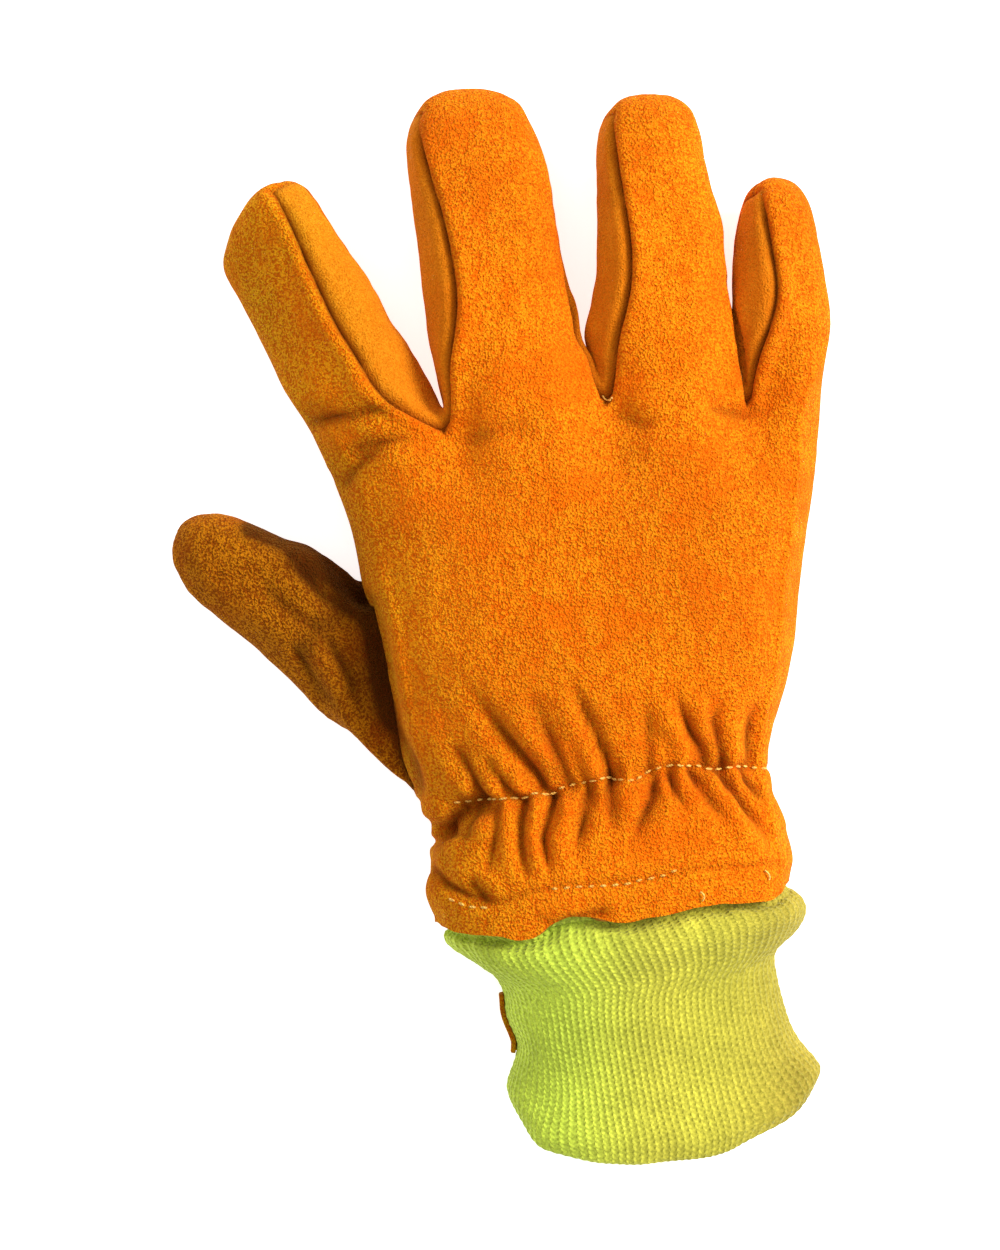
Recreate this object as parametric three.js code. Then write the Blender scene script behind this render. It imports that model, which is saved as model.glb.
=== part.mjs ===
// A right-hand firefighter glove lying on its palm: suede back panel, palm panel, three fourchettes
// between the fingers, a two-piece thumb, a knitted cuff and a pull tab on the cuff.
// Millimetres, +X to the little finger's side, +Y to the fingertips, +Z up from the palm.
import * as THREE from "three";

// Driving dimensions
const palmWidth = 134;
const palmLength = 102; // elastic line to the finger crotches
const palmDepth = 46;
const skirtLength = 33; // elastic line to the leather's hem
const fingerLength = 95;
const fingerWidth = 40;
const fingerDepth = 29;
const thumbReach = 72; // from the thumb's root to its tip, across the hand
const thumbRise = 50; // the same, along the hand
const thumbWidth = 32;
const thumbDepth = 27;
const cuffWidth = 104;
const cuffLength = 53.5; // hem of the leather to the sides of the cuff's end
const cuffDepth = 43;
const cuffEndDrop = 19; // how much further the cuff's end reaches over the wrist's back
const leatherWall = 2;
const fourchetteWall = 1.4;
const knitWall = 3;
const seamGap = 0.6;
const edgeSkive = 1; // how far the flesh side of a panel's edge is pared back
const edgeLeft = 0.4; // share of the wall that is left at a seam
const cuffClearance = 0.6; // between the leather and the knit inside it
const pleatDepth = 2.4;
const hemPinch = 1.2; // how far the hem's stitches pull the leather in
const fingertipRest = 0.3; // height of the finger pads above the floor
const tabClearance = 0.4;

// Mesh resolution
const backColumns = 5; // across the back of each finger
const fingerRings = 10;
const fourchetteRings = 8; // the fourchettes end at this ring, short of the tip
const thumbRings = 9;

// Shape of the cross-sections: exponents of the rounded ovals and angles in degrees
const handRoundness = 2.6;
const palmFlatness = 4.5;
const fingerRoundness = 2.5;
const cuffRoundness = 2.3;
const sideAngle = 23;
const restSink = 1; // depth by which the palm's curve is cut off flat

// The gathers: how much of a pleat is left at the hem, and where it fades down the skirt and up the hand.
// The hem's second row of stitches pulls the skirt in around one place.
const gather = { atHem: 0.35, skirtRun: 0.6, handRun: 0.3 };
const hemStitches = { down: 0.62, reach: 0.2 };

// The hand from the elastic line (along 0) to the finger crotches (along 1).
// along: share of palmLength. centre, width: shares of palmWidth. depth: share of palmDepth.
// side: height of the widest line, as a share of the depth. lift: height of the underside, share of
// palmDepth.
const handSections = [
  { along: 0.0, centre: 0.051, width: 0.693, depth: 0.84, side: 0.46, lift: 0.05 },
  { along: 0.12, centre: 0.032, width: 0.77, depth: 0.92, side: 0.45, lift: 0.02 },
  { along: 0.3, centre: 0.026, width: 0.849, depth: 0.99, side: 0.45, lift: 0.0 },
  { along: 0.5, centre: 0.019, width: 0.893, depth: 1.0, side: 0.44, lift: 0.0 },
  { along: 0.75, centre: 0.012, width: 0.963, depth: 0.97, side: 0.43, lift: 0.0 },
  { along: 1.0, centre: -0.017, width: 1.054, depth: 0.88, side: 0.43, lift: 0.04 },
];

// The gathered skirt below the elastic line. down: share of skirtLength.
const skirtSections = [
  { down: 0.0, centre: 0.051, width: 0.693, depth: 0.84, side: 0.46, lift: 0.05 },
  { down: 0.2, centre: 0.05, width: 0.725, depth: 0.91, side: 0.46, lift: 0.02 },
  { down: 0.5, centre: 0.056, width: 0.77, depth: 0.96, side: 0.46, lift: 0.01 },
  { down: 0.8, centre: 0.069, width: 0.79, depth: 0.97, side: 0.46, lift: 0.01 },
  { down: 1.0, centre: 0.069, width: 0.78, depth: 0.96, side: 0.46, lift: 0.02 },
];

// Where three lines across the hand run. across: 0 at the thumb's side, 1 at the little finger's.
// elastic and knuckle: shares of palmLength from the hand's origin. hem: share of skirtLength below the
// elastic line.
const crossLines = [
  { across: 0.0, elastic: -0.157, knuckle: 0.924, hem: 0.72 },
  { across: 0.12, elastic: -0.06, knuckle: 0.955, hem: 1.08 },
  { across: 0.222, elastic: -0.03, knuckle: 0.987, hem: 1.16 },
  { across: 0.4, elastic: -0.005, knuckle: 1.035, hem: 1.12 },
  { across: 0.552, elastic: 0.03, knuckle: 1.072, hem: 1.14 },
  { across: 0.7, elastic: 0.046, knuckle: 1.085, hem: 1.08 },
  { across: 0.843, elastic: 0.056, knuckle: 1.072, hem: 1.02 },
  { across: 1.0, elastic: 0.057, knuckle: 1.02, hem: 0.95 },
];

// The crotches between the fingers. across: as above. dip, rise: how far the back sinks and the palm
// rises at the crotch, shares of palmDepth. web: how far the fourchette bulges out of the crotch, share of
// fingerLength.
const crotches = [
  { across: 0.243, dip: 0.13, rise: 0.15, web: 0.06 },
  { across: 0.569, dip: 0.17, rise: 0.16, web: 0.15 },
  { across: 0.853, dip: 0.15, rise: 0.16, web: 0.12 },
];
const crotchSpread = 0.11; // share of palmWidth over which a crotch's dip fades sideways
const crotchRun = 0.3; // share of palmLength over which it fades down the hand

// The four fingers, from the thumb's side. length, width, depth: shares of fingerLength, fingerWidth and
// fingerDepth. shift: how far the finger stands to the little finger's side of its base, share of
// fingerWidth. lean, bend: degrees away from +Y at the base, and the turn from there to the tip.
// roll: degrees that the finger's back turns to the little finger's side. taper: width near the tip
// against the base. round: share of the length that the rounded tip takes. slant: degrees of the tip's cut.
const fingers = [
  {
    length: 0.81, width: 0.92, depth: 0.97, shift: 0.01, lean: -30, bend: 1,
    roll: -38, taper: 0.95, round: 0.14, slant: 20,
  },
  {
    length: 0.98, width: 1.05, depth: 1.0, shift: -0.02, lean: -9, bend: 2,
    roll: 13, taper: 0.93, round: 0.2, slant: 0,
  },
  {
    length: 0.9, width: 0.94, depth: 0.98, shift: -0.07, lean: -4.5, bend: 0,
    roll: 15, taper: 0.76, round: 0.15, slant: 0,
  },
  {
    length: 0.68, width: 0.62, depth: 0.9, shift: 0.06, lean: 2, bend: -8,
    roll: 34, taper: 0.68, round: 0.24, slant: 0,
  },
];
const fingerArch = 0.2; // rise of a finger's middle above its base, share of half its depth
const baseBlend = 0.36; // share of a finger over which its base turns into an oval
const baseSkew = 0.75; // share over which it loses the slope of its base
const tipDepth = 0.86; // depth near the tip against the base
const tipRoundness = 2.3; // exponent of the round tips
const ringCrowding = 1.6; // above 1, a finger's rings stand closer towards its tip

// How a finger changes along its length, 0 at the base and 1 at the tip.
const rollEnd = 0.5;
const slantStart = 0.4;
const taperStart = 0.3;
const depthStart = 0.2;
// Half heights of the fourchettes as shares of the finger's half depth, and where they narrow.
const fourchetteHalf = { base: 0.58, tip: 0.2, from: 0.25, to: 0.95 };

// The thumb's hole in the hand: rows between rings, and columns into the palm from its side line.
const handRings = [1, 0.87, 0.75, 0.63, 0.49, 0.36, 0.24, 0.13, 0.06, 0];
const skirtRings = [0.15, 0.38, 0.62, 0.8, 1];
const thumbHole = { firstRing: 3, lastRing: 7, palmColumns: 4 };
const thumbRoot = -0.17; // how far the root lies from the hole's middle towards the wrist, share of thumbRise
const thumbElbow = { across: 0.59, along: 0.7 }; // the thumb's bend, as shares of its reach and rise
const thumbSeams = { firstColumn: 16, columns: 9 }; // the thumb's back, as columns of its rings
const thumbSwell = 1.3; // width at the thumb's base, share of thumbWidth
const thumbTaper = 0.85; // width near its tip
const thumbTaperEnd = 0.8; // share of the thumb over which it narrows
const thumbRound = 0.24; // share of its length that the rounded tip takes

// The knitted cuff from the leather's hem (down 0) to its end (down 1). left, right: its edges from the
// hand's middle, shares of cuffWidth. depth: share of cuffDepth.
const cuffSections = [
  { down: 0.0, left: -0.375, right: 0.585, depth: 0.97 },
  { down: 0.08, left: -0.38, right: 0.61, depth: 1.0 },
  { down: 0.17, left: -0.34, right: 0.62, depth: 0.99 },
  { down: 0.27, left: -0.255, right: 0.594, depth: 0.89 },
  { down: 0.37, left: -0.222, right: 0.543, depth: 0.84 },
  { down: 0.5, left: -0.208, right: 0.545, depth: 0.83 },
  { down: 0.65, left: -0.192, right: 0.565, depth: 0.84 },
  { down: 0.8, left: -0.186, right: 0.597, depth: 0.86 },
  { down: 0.93, left: -0.188, right: 0.64, depth: 0.88 },
  { down: 1.0, left: -0.178, right: 0.628, depth: 0.85 },
];
const cuffBelow = [0.07, 0.14, 0.22, 0.32, 0.44, 0.58, 0.72, 0.86, 0.95, 1];
const cuffSide = 0.46; // height of the widest line, share of the depth
const cuffEndRoundness = 3.6; // exponent of the end's curve from side to side
const cuffSideRise = 3; // how much lower the cuff's thumb side ends than its other side, half of it
const cuffPalmDrop = 0.35; // how far the end drops on the palm's side, share of cuffEndDrop

// The pull tab lies on the cuff's thumb side, round its lower corner: columns of the hand's rings before
// its side line, and rows of the cuff as shares of its length.
const pullTab = { columns: [1.6, 1, 0.3, -0.5, -1.2], rows: [0.34, 0.4, 0.5, 0.6, 0.68, 0.74] };

const leather = new THREE.MeshStandardMaterial({ color: 0xe8780f, roughness: 0.95, metalness: 0 });
const gussetLeather = new THREE.MeshStandardMaterial({ color: 0xd8700f, roughness: 0.95, metalness: 0 });
const knit = new THREE.MeshStandardMaterial({ color: 0xc6cc48, roughness: 0.9, metalness: 0 });

const radians = THREE.MathUtils.degToRad;
const lerp = THREE.MathUtils.lerp;
const clamp = THREE.MathUtils.clamp;
const smooth = (x, from, to) => THREE.MathUtils.smoothstep(x, from, to);

// One column of a table at any place between its rows, along a smooth curve through them.
function readTable(table, placeColumn, column, place) {
  const last = table.length - 1;
  const at = clamp(place, table[0][placeColumn], table[last][placeColumn]);
  let i = 0;
  while (i < last - 1 && table[i + 1][placeColumn] < at) i++;
  const slope = (k) => {
    const a = table[Math.max(k - 1, 0)];
    const b = table[Math.min(k + 1, last)];
    return (b[column] - a[column]) / (b[placeColumn] - a[placeColumn]);
  };
  const [a, b] = [table[i], table[i + 1]];
  const span = b[placeColumn] - a[placeColumn];
  const t = (at - a[placeColumn]) / span;
  const rise = (1 - t) * (1 - t);
  return (
    (1 + 2 * t) * rise * a[column] +
    t * rise * span * slope(i) +
    t * t * (3 - 2 * t) * b[column] +
    t * t * (t - 1) * span * slope(i + 1)
  );
}

// A power of a cosine or sine that keeps its sign, for rounded ovals.
function bulge(value, exponent) {
  return Math.sign(value) * Math.pow(Math.abs(value), 2 / exponent);
}

// The whole leather surface before it is cut into panels: shared points, and faces named by panel.
const points = [];
const faces = [];
function addPoint(x, y, z) {
  return points.push(new THREE.Vector3(x, y, z)) - 1;
}
function addQuad(a, b, c, d, panel) {
  faces.push({ corners: [a, b, c], panel }, { corners: [a, c, d], panel });
}

// Joins two closed rings of points, the second one nearer the fingertips.
function joinRings(lower, upper, panelOf) {
  const count = lower.length;
  for (let k = 0; k < count; k++) {
    const next = (k + 1) % count;
    const panel = panelOf(k);
    if (panel) addQuad(lower[k], lower[next], upper[next], upper[k], panel);
  }
}

// Angles of a ring's points around the hand: up the thumb's side, over the back, down the little
// finger's side and back across the palm.
const backCount = backColumns * fingers.length;
const handCount = 2 * backCount + 4;
function angleAcross(across) {
  const c = clamp(1 - 2 * across, -1, 1);
  return Math.acos(bulge(c, 4 / handRoundness) * -1);
}
const acrossStops = [null, ...crotches.map((c) => c.across), null];
function backAngle(column) {
  const finger = Math.min(Math.floor(column / backColumns), fingers.length - 1);
  const share = column / backColumns - finger;
  const from = finger === 0 ? Math.PI - radians(sideAngle) : angleAcross(acrossStops[finger]);
  const to = finger === fingers.length - 1 ? radians(sideAngle) : angleAcross(acrossStops[finger + 1]);
  return lerp(from, to, share);
}
function handAngle(index) {
  if (index === 1) return Math.PI;
  if (index === backCount + 3) return 0;
  if (index === 0) return -backAngle(0);
  if (index <= backCount + 2) return backAngle(index - 2);
  return -backAngle(2 * backCount + 4 - index);
}

// The gathers pull in every second column of the back and the palm.
function pleatAt(index) {
  const column = index <= backCount + 2 ? index - 2 : index - backCount - 4;
  return index === 1 || index === backCount + 3 || column % 2 ? 0 : 1;
}

// A rounded oval's height at an angle, flattened below where it rests on its palm.
function ovalHeight(s, depth, sideHeight, roundness) {
  if (s >= 0) return sideHeight + (depth - sideHeight) * bulge(s, roundness);
  return Math.max(0, sideHeight * (1 + bulge(s, palmFlatness)) - restSink);
}

// One point of the hand or the skirt, and the way out from it. along runs from 0 to 1 up the hand, or
// from 0 to -1 down the skirt. pleat: 1 in the valley of a gather, 0 on its crest.
function handSurface(index, along, pleat) {
  const inSkirt = along < 0;
  const place = Math.abs(along);
  const section = (column) =>
    inSkirt
      ? readTable(skirtSections, "down", column, place)
      : readTable(handSections, "along", column, place);
  const angle = handAngle(index);
  const c = Math.cos(angle);
  const s = Math.sin(angle);
  const half = (section("width") * palmWidth) / 2;
  const depth = section("depth") * palmDepth;
  const side = bulge(c, handRoundness);
  const across = (1 + side) / 2;
  const line = (column) => readTable(crossLines, "across", column, across);
  const elastic = line("elastic") * palmLength;
  const x = section("centre") * palmWidth + half * side;
  const y = inSkirt
    ? elastic - place * line("hem") * skirtLength
    : lerp(elastic, line("knuckle") * palmLength, place);
  let z = ovalHeight(s, depth, section("side") * depth, handRoundness);
  if (s < 0) z += section("lift") * palmDepth * -bulge(s, handRoundness);
  for (const crotch of crotches) {
    const near = 1 - smooth(Math.abs(across - crotch.across) / crotchSpread, 0, 1);
    const reach = inSkirt ? 0 : 1 - smooth((1 - along) / crotchRun, 0, 1);
    z += near * reach * palmDepth * (s >= 0 ? -crotch.dip : crotch.rise);
  }

  // The pleats fade up the hand and soften down the skirt, and the hem's stitches pull it in.
  const pleatLeft = inSkirt
    ? lerp(1, gather.atHem, smooth(place, 0, gather.skirtRun))
    : 1 - smooth(along, 0, gather.handRun);
  const beside = Math.abs(place - hemStitches.down);
  const pinch = inSkirt ? hemPinch * (1 - smooth(beside, 0, hemStitches.reach)) : 0;
  const out = new THREE.Vector2(c / half, s / depth).normalize();
  const point = moveIn(new THREE.Vector3(x, y, z), out, pleatDepth * pleatLeft * pleat + pinch, 0);
  return { point, out };
}

// Moves a point into the hand, and keeps it off the floor.
function moveIn(point, out, distance, lowest) {
  point.x -= distance * out.x;
  point.z = Math.max(lowest, point.z - distance * out.y);
  return point;
}

function handPoint(index, along) {
  const { point } = handSurface(index, along, pleatAt(index));
  return addPoint(point.x, point.y, point.z);
}

const ringOf = (along) => Array.from({ length: handCount }, (_, index) => handPoint(index, along));
const rings = handRings.map(ringOf);
const skirt = skirtRings.map((down) => ringOf(-down));

// Panels around the hand: the back panel wraps both sides, and the palm panel lies between them.
const handPanel = (column) => (column < backCount + 4 ? "back_panel" : "palm_panel");
const holeColumns = new Set([0]);
for (let k = 1; k <= thumbHole.palmColumns; k++) holeColumns.add(handCount - k);
rings.slice(1).forEach((ring, i) => {
  const open = i >= thumbHole.firstRing && i < thumbHole.lastRing;
  joinRings(ring, rings[i], (k) => (open && holeColumns.has(k) ? null : handPanel(k)));
});
skirt.forEach((ring, i) => joinRings(ring, i ? skirt[i - 1] : rings.at(-1), handPanel));

// A rounded oval's half sizes along a finger: full at first, tapering, and closed by a round tip.
function tipProfile(t, round) {
  const u = clamp((t - (1 - round)) / round, 0, 1);
  return Math.pow(1 - Math.pow(u, tipRoundness), 1 / tipRoundness);
}

// A finger or thumb grown from a loop of points: each ring blends from the loop to an oval on the curve.
function growTube({ loop, curve, ringCount, angleOf, halfWidth, halfDepth, rollOf, slant, floor, panelOf }) {
  const frameAt = (t) => {
    const tangent = curve.getTangent(t);
    const side = new THREE.Vector3(tangent.y, -tangent.x, 0).normalize();
    const up = new THREE.Vector3().crossVectors(side, tangent);
    const roll = rollOf(t);
    const rolledUp = up.clone().multiplyScalar(Math.cos(roll)).addScaledVector(side, Math.sin(roll));
    const rolledSide = side.clone().multiplyScalar(Math.cos(roll)).addScaledVector(up, -Math.sin(roll));
    return { origin: curve.getPoint(t), tangent, side: rolledSide, up: rolledUp };
  };
  const base = frameAt(0);
  const local = loop.map((index) => {
    const from = points[index].clone().sub(base.origin);
    return [from.dot(base.side), from.dot(base.up), from.dot(base.tangent)];
  });
  let previous = loop;
  for (let k = 1; k < ringCount; k++) {
    const t = 1 - Math.pow(1 - k / ringCount, ringCrowding);
    const frame = frameAt(t);
    const blend = smooth(t, 0, baseBlend);
    const ring = loop.map((_, index) => {
      const angle = angleOf(index, t);
      const across = halfWidth(t) * bulge(Math.cos(angle), fingerRoundness);
      const height = halfDepth(t) * bulge(Math.sin(angle), fingerRoundness);
      const ahead = across * Math.tan(slant) * smooth(t, slantStart, 1);
      const point = frame.origin
        .clone()
        .addScaledVector(frame.side, lerp(local[index][0], across, blend))
        .addScaledVector(frame.up, lerp(local[index][1], height, blend))
        .addScaledVector(frame.tangent, lerp(local[index][2], ahead, smooth(t, 0, baseSkew)));
      return addPoint(point.x, point.y, Math.max(floor, point.z));
    });
    joinRings(previous, ring, (column) => panelOf(column, k));
    previous = ring;
  }
  const end = frameAt(1).origin;
  const pole = addPoint(end.x, end.y, end.z);
  previous.forEach((corner, column) => {
    const next = previous[(column + 1) % previous.length];
    faces.push({ corners: [corner, next, pole], panel: panelOf(column, ringCount) });
  });
}

const middleOf = (loop) =>
  loop.reduce((sum, index) => sum.add(points[index]), new THREE.Vector3()).divideScalar(loop.length);

// The strips between the fingers run down one finger's side, round the crotch and up the next.
const knuckles = rings[0];
const fourchettes = ["fourchette_index_middle", "fourchette_middle_ring", "fourchette_ring_little"];
const crotchMiddles = crotches.map((_, i) => {
  const back = points[knuckles[2 + backColumns * (i + 1)]];
  const palm = points[knuckles[handCount - backColumns * (i + 1)]];
  const reach = crotches[i].web * fingerLength;
  return addPoint((back.x + palm.x) / 2, (back.y + palm.y) / 2 + reach, (back.z + palm.z) / 2);
});

fingers.forEach((finger, i) => {
  const backLine = knuckles.slice(2 + backColumns * i, 3 + backColumns * (i + 1));
  const palmEnd = handCount - backColumns * i;
  const palmLine = [];
  for (let k = palmEnd - backColumns; k <= palmEnd; k++) palmLine.push(knuckles[k % handCount]);
  const isFirst = i === 0;
  const isLast = i === fingers.length - 1;
  const farSide = isLast ? knuckles[backCount + 3] : crotchMiddles[i];
  const nearSide = isFirst ? knuckles[1] : crotchMiddles[i - 1];
  const loop = [...backLine, farSide, ...palmLine, nearSide];

  const start = middleOf(loop).add(new THREE.Vector3(finger.shift * fingerWidth, 0, 0));
  const length = finger.length * fingerLength;
  const lean = radians(finger.lean);
  const tipLean = radians(finger.lean + finger.bend);
  const depth = (finger.depth * fingerDepth) / 2;
  const width = (finger.width * fingerWidth) / 2;
  const elbow = start
    .clone()
    .add(new THREE.Vector3(Math.sin(lean) * 0.5 * length, Math.cos(lean) * 0.5 * length, 0));
  const tip = elbow
    .clone()
    .add(new THREE.Vector3(Math.sin(tipLean) * 0.5 * length, Math.cos(tipLean) * 0.5 * length, 0));
  elbow.z = start.z + fingerArch * depth;
  tip.z = depth * tipDepth + fingertipRest;

  const roll = radians(finger.roll);
  const corner = (t) => {
    const { base, tip: narrow, from, to } = fourchetteHalf;
    const share = lerp(base, narrow, smooth(t, from, to));
    return Math.asin(Math.pow(share, fingerRoundness / 2));
  };
  growTube({
    loop,
    curve: new THREE.QuadraticBezierCurve3(start, elbow, tip),
    ringCount: fingerRings,
    angleOf: (index, t) => {
      const c = corner(t);
      if (index <= backColumns) return lerp(Math.PI - c, c, index / backColumns);
      if (index === backColumns + 1) return 0;
      if (index === 2 * backColumns + 3) return Math.PI;
      return lerp(-c, c - Math.PI, (index - backColumns - 2) / backColumns);
    },
    halfWidth: (t) => width * lerp(1, finger.taper, smooth(t, taperStart, 1)) * tipProfile(t, finger.round),
    halfDepth: (t) => depth * lerp(1, tipDepth, smooth(t, depthStart, 1)) * tipProfile(t, finger.round),
    rollOf: (t) => roll * smooth(t, 0, rollEnd),
    slant: radians(finger.slant),
    floor: fingertipRest,
    panelOf: (column, ring) => {
      if (column < backColumns) return "back_panel";
      if (column >= backColumns + 2 && column < 2 * backColumns + 2) return "palm_panel";
      const onFarSide = column < backColumns + 2;
      const upper = column === backColumns || column === 2 * backColumns + 3;
      const outside = onFarSide ? isLast : isFirst;
      if (ring > fourchetteRings) return upper ? "back_panel" : "palm_panel";
      if (outside) return "back_panel";
      return fourchettes[onFarSide ? i : i - 1];
    },
  });
});

// The thumb grows from the loop round its hole: up the hand's side line, across the palm below the
// fingers, down the palm and back along the wrist's side.
const holeTop = thumbHole.firstRing;
const holeEnd = thumbHole.lastRing;
const holeEdge = handCount - thumbHole.palmColumns;
const thumbLoop = [];
for (let j = holeEnd; j > holeTop; j--) thumbLoop.push(rings[j][1]);
for (let k = 1; k > -thumbHole.palmColumns; k--) thumbLoop.push(rings[holeTop][(k + handCount) % handCount]);
for (let j = holeTop; j < holeEnd; j++) thumbLoop.push(rings[j][holeEdge]);
for (let k = -thumbHole.palmColumns; k < 1; k++) thumbLoop.push(rings[holeEnd][(k + handCount) % handCount]);

const holeRows = holeEnd - holeTop;
const thumbCount = thumbLoop.length;
const thumbStart = middleOf(thumbLoop).add(new THREE.Vector3(0, thumbRoot * thumbRise, 0));
const thumbMiddle = thumbStart
  .clone()
  .add(new THREE.Vector3(-thumbElbow.across * thumbReach, thumbElbow.along * thumbRise, 0));
const thumbTip = thumbStart.clone().add(new THREE.Vector3(-thumbReach, thumbRise, 0));
thumbMiddle.z = thumbDepth / 2 + fingertipRest;
thumbTip.z = (thumbDepth / 2) * tipDepth + fingertipRest;
growTube({
  loop: thumbLoop,
  curve: new THREE.QuadraticBezierCurve3(thumbStart, thumbMiddle, thumbTip),
  ringCount: thumbRings,
  angleOf: (index) => Math.PI / 2 - ((index - holeRows / 2) / thumbCount) * 2 * Math.PI,
  halfWidth: (t) => {
    const swell = lerp(thumbSwell, thumbTaper, smooth(t, 0, thumbTaperEnd));
    return (thumbWidth / 2) * swell * tipProfile(t, thumbRound);
  },
  halfDepth: (t) => {
    const narrowing = lerp(1, tipDepth, smooth(t, depthStart, 1));
    return (thumbDepth / 2) * narrowing * tipProfile(t, thumbRound);
  },
  rollOf: () => 0,
  slant: 0,
  floor: fingertipRest,
  panelOf: (column) => {
    const place = (column - thumbSeams.firstColumn + thumbCount) % thumbCount;
    return place < thumbSeams.columns ? "thumb_back" : "thumb_front";
  },
});

// Normals at the points of some faces, weighted by area.
function normalsOf(own) {
  const normals = new Map();
  for (const { corners } of own) {
    const [a, b, c] = corners.map((index) => points[index]);
    const faceNormal = new THREE.Vector3().crossVectors(b.clone().sub(a), c.clone().sub(a));
    for (const index of corners) {
      if (!normals.has(index)) normals.set(index, new THREE.Vector3());
      normals.get(index).add(faceNormal);
    }
  }
  normals.forEach((normal) => normal.normalize());
  return normals;
}

// A closed mesh from points and triangles.
function meshGeometry(vertices, triangles) {
  const geometry = new THREE.BufferGeometry();
  geometry.setAttribute("position", new THREE.Float32BufferAttribute(vertices.flat(), 3));
  geometry.setIndex(triangles.flat());
  geometry.computeVertexNormals();
  return geometry;
}

const skinNormals = normalsOf(faces);

// Cuts one panel out of the surface, draws its seams back by half the gap and gives it its wall, which is
// pared thinner at the seams.
const sharpestCorner = 0.06; // limits how far a panel's sharp corners are drawn back
function panelGeometry(panel, wall) {
  const own = faces.filter((face) => face.panel === panel);
  const normals = normalsOf(own);
  const directed = new Set();
  for (const { corners } of own)
    corners.forEach((corner, k) => directed.add(`${corner},${corners[(k + 1) % 3]}`));
  const edges = [...directed].map((edge) => edge.split(",").map(Number));
  const rim = edges.filter(([a, b]) => !directed.has(`${b},${a}`));

  const inset = new Map();
  for (const [a, b] of rim) {
    for (const index of [a, b]) {
      const along = points[b].clone().sub(points[a]).normalize();
      const into = new THREE.Vector3().crossVectors(normals.get(index), along).normalize();
      inset.set(index, [...(inset.get(index) ?? []), into]);
    }
  }
  const used = [...normals.keys()];
  const place = new Map(used.map((index, k) => [index, k]));
  const outer = [];
  const inner = [];
  for (const index of used) {
    const away = new THREE.Vector3();
    const into = inset.get(index);
    if (into) {
      into.forEach((v) => away.addScaledVector(v, 1 / into.length));
      away.divideScalar(Math.max(away.lengthSq(), sharpestCorner));
    }
    const point = points[index].clone().addScaledVector(away, seamGap / 2);
    outer.push(point.toArray());
    const thickness = into ? wall * edgeLeft : wall;
    point.addScaledVector(away, edgeSkive);
    inner.push(point.addScaledVector(skinNormals.get(index), -thickness).toArray());
  }
  const shift = used.length;
  const triangles = own.flatMap(({ corners }) => {
    const [a, b, c] = corners.map((index) => place.get(index));
    return [[a, b, c], [a + shift, c + shift, b + shift]];
  });
  for (const [a, b] of rim.map((pair) => pair.map((index) => place.get(index))))
    triangles.push([b, a, a + shift], [b, a + shift, b + shift]);
  return meshGeometry([...outer, ...inner], triangles);
}

// One point of the cuff's outside, moved in by a distance, with the way out from it. down: from the
// leather's hem to the cuff's end. index: column of the hand's rings, whole or not.
function cuffPoint(index, down, inward) {
  const section = (name) => readTable(cuffSections, "down", name, down);
  const first = Math.floor(index);
  const angle = lerp(ringAngle(first), ringAngle(first + 1), index - first);
  const c = Math.cos(angle);
  const s = Math.sin(angle);
  const [left, right] = [section("left") * cuffWidth, section("right") * cuffWidth];
  const half = (right - left) / 2;
  const depth = section("depth") * cuffDepth;
  const side = bulge(c, cuffRoundness);
  const hem = handSurface(Math.round(index + handCount) % handCount, -1, 0).point.y;
  const hang = cuffEndDrop * (1 - Math.pow(Math.abs(side), cuffEndRoundness)) * (s > 0 ? 1 : cuffPalmDrop);
  const end = cuffSideRise * side - skirtLength - cuffLength - hang;
  const point = new THREE.Vector3(
    (left + right) / 2 + half * side,
    lerp(hem, end, down),
    ovalHeight(s, depth, cuffSide * depth, cuffRoundness),
  );
  const out = new THREE.Vector2(c / half, s / depth).normalize();
  return moveIn(point, out, inward, Math.max(0, inward));
}

// The angles of handAngle, but above them by a turn before the ring's second point, so that they keep
// falling along the columns.
function ringAngle(index) {
  return index < 1 ? handAngle(index + handCount) + 2 * Math.PI : handAngle(index % handCount);
}

// The part of the cuff inside the leather keeps clear of the skirt's pleats.
function tuckPoint(index, place, inward) {
  const { point, out } = handSurface(index, -place, 1);
  const clear = leatherWall + cuffClearance;
  return moveIn(point, out, clear + inward, clear + inward);
}

// The knitted tube: outside from its top to its end, and back up the inside.
function cuffGeometry() {
  const ring = (pointAt) => Array.from({ length: handCount }, (_, index) => pointAt(index).toArray());
  const wall = (inward) => [
    ...skirtRings.slice(1).map((place) => ring((index) => tuckPoint(index, place, inward))),
    ...cuffBelow.map((down) => ring((index) => cuffPoint(index, down, inward))),
  ];
  const loops = [...wall(0), ...wall(knitWall).reverse()];
  const triangles = [];
  loops.forEach((_, j) => {
    const next = ((j + 1) % loops.length) * handCount;
    for (let k = 0; k < handCount; k++) {
      const beside = (k + 1) % handCount;
      const [a, b, c, d] = [j * handCount + k, j * handCount + beside, next + beside, next + k];
      triangles.push([a, c, b], [a, d, c]);
    }
  });
  return meshGeometry(loops.flat(), triangles);
}

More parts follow.
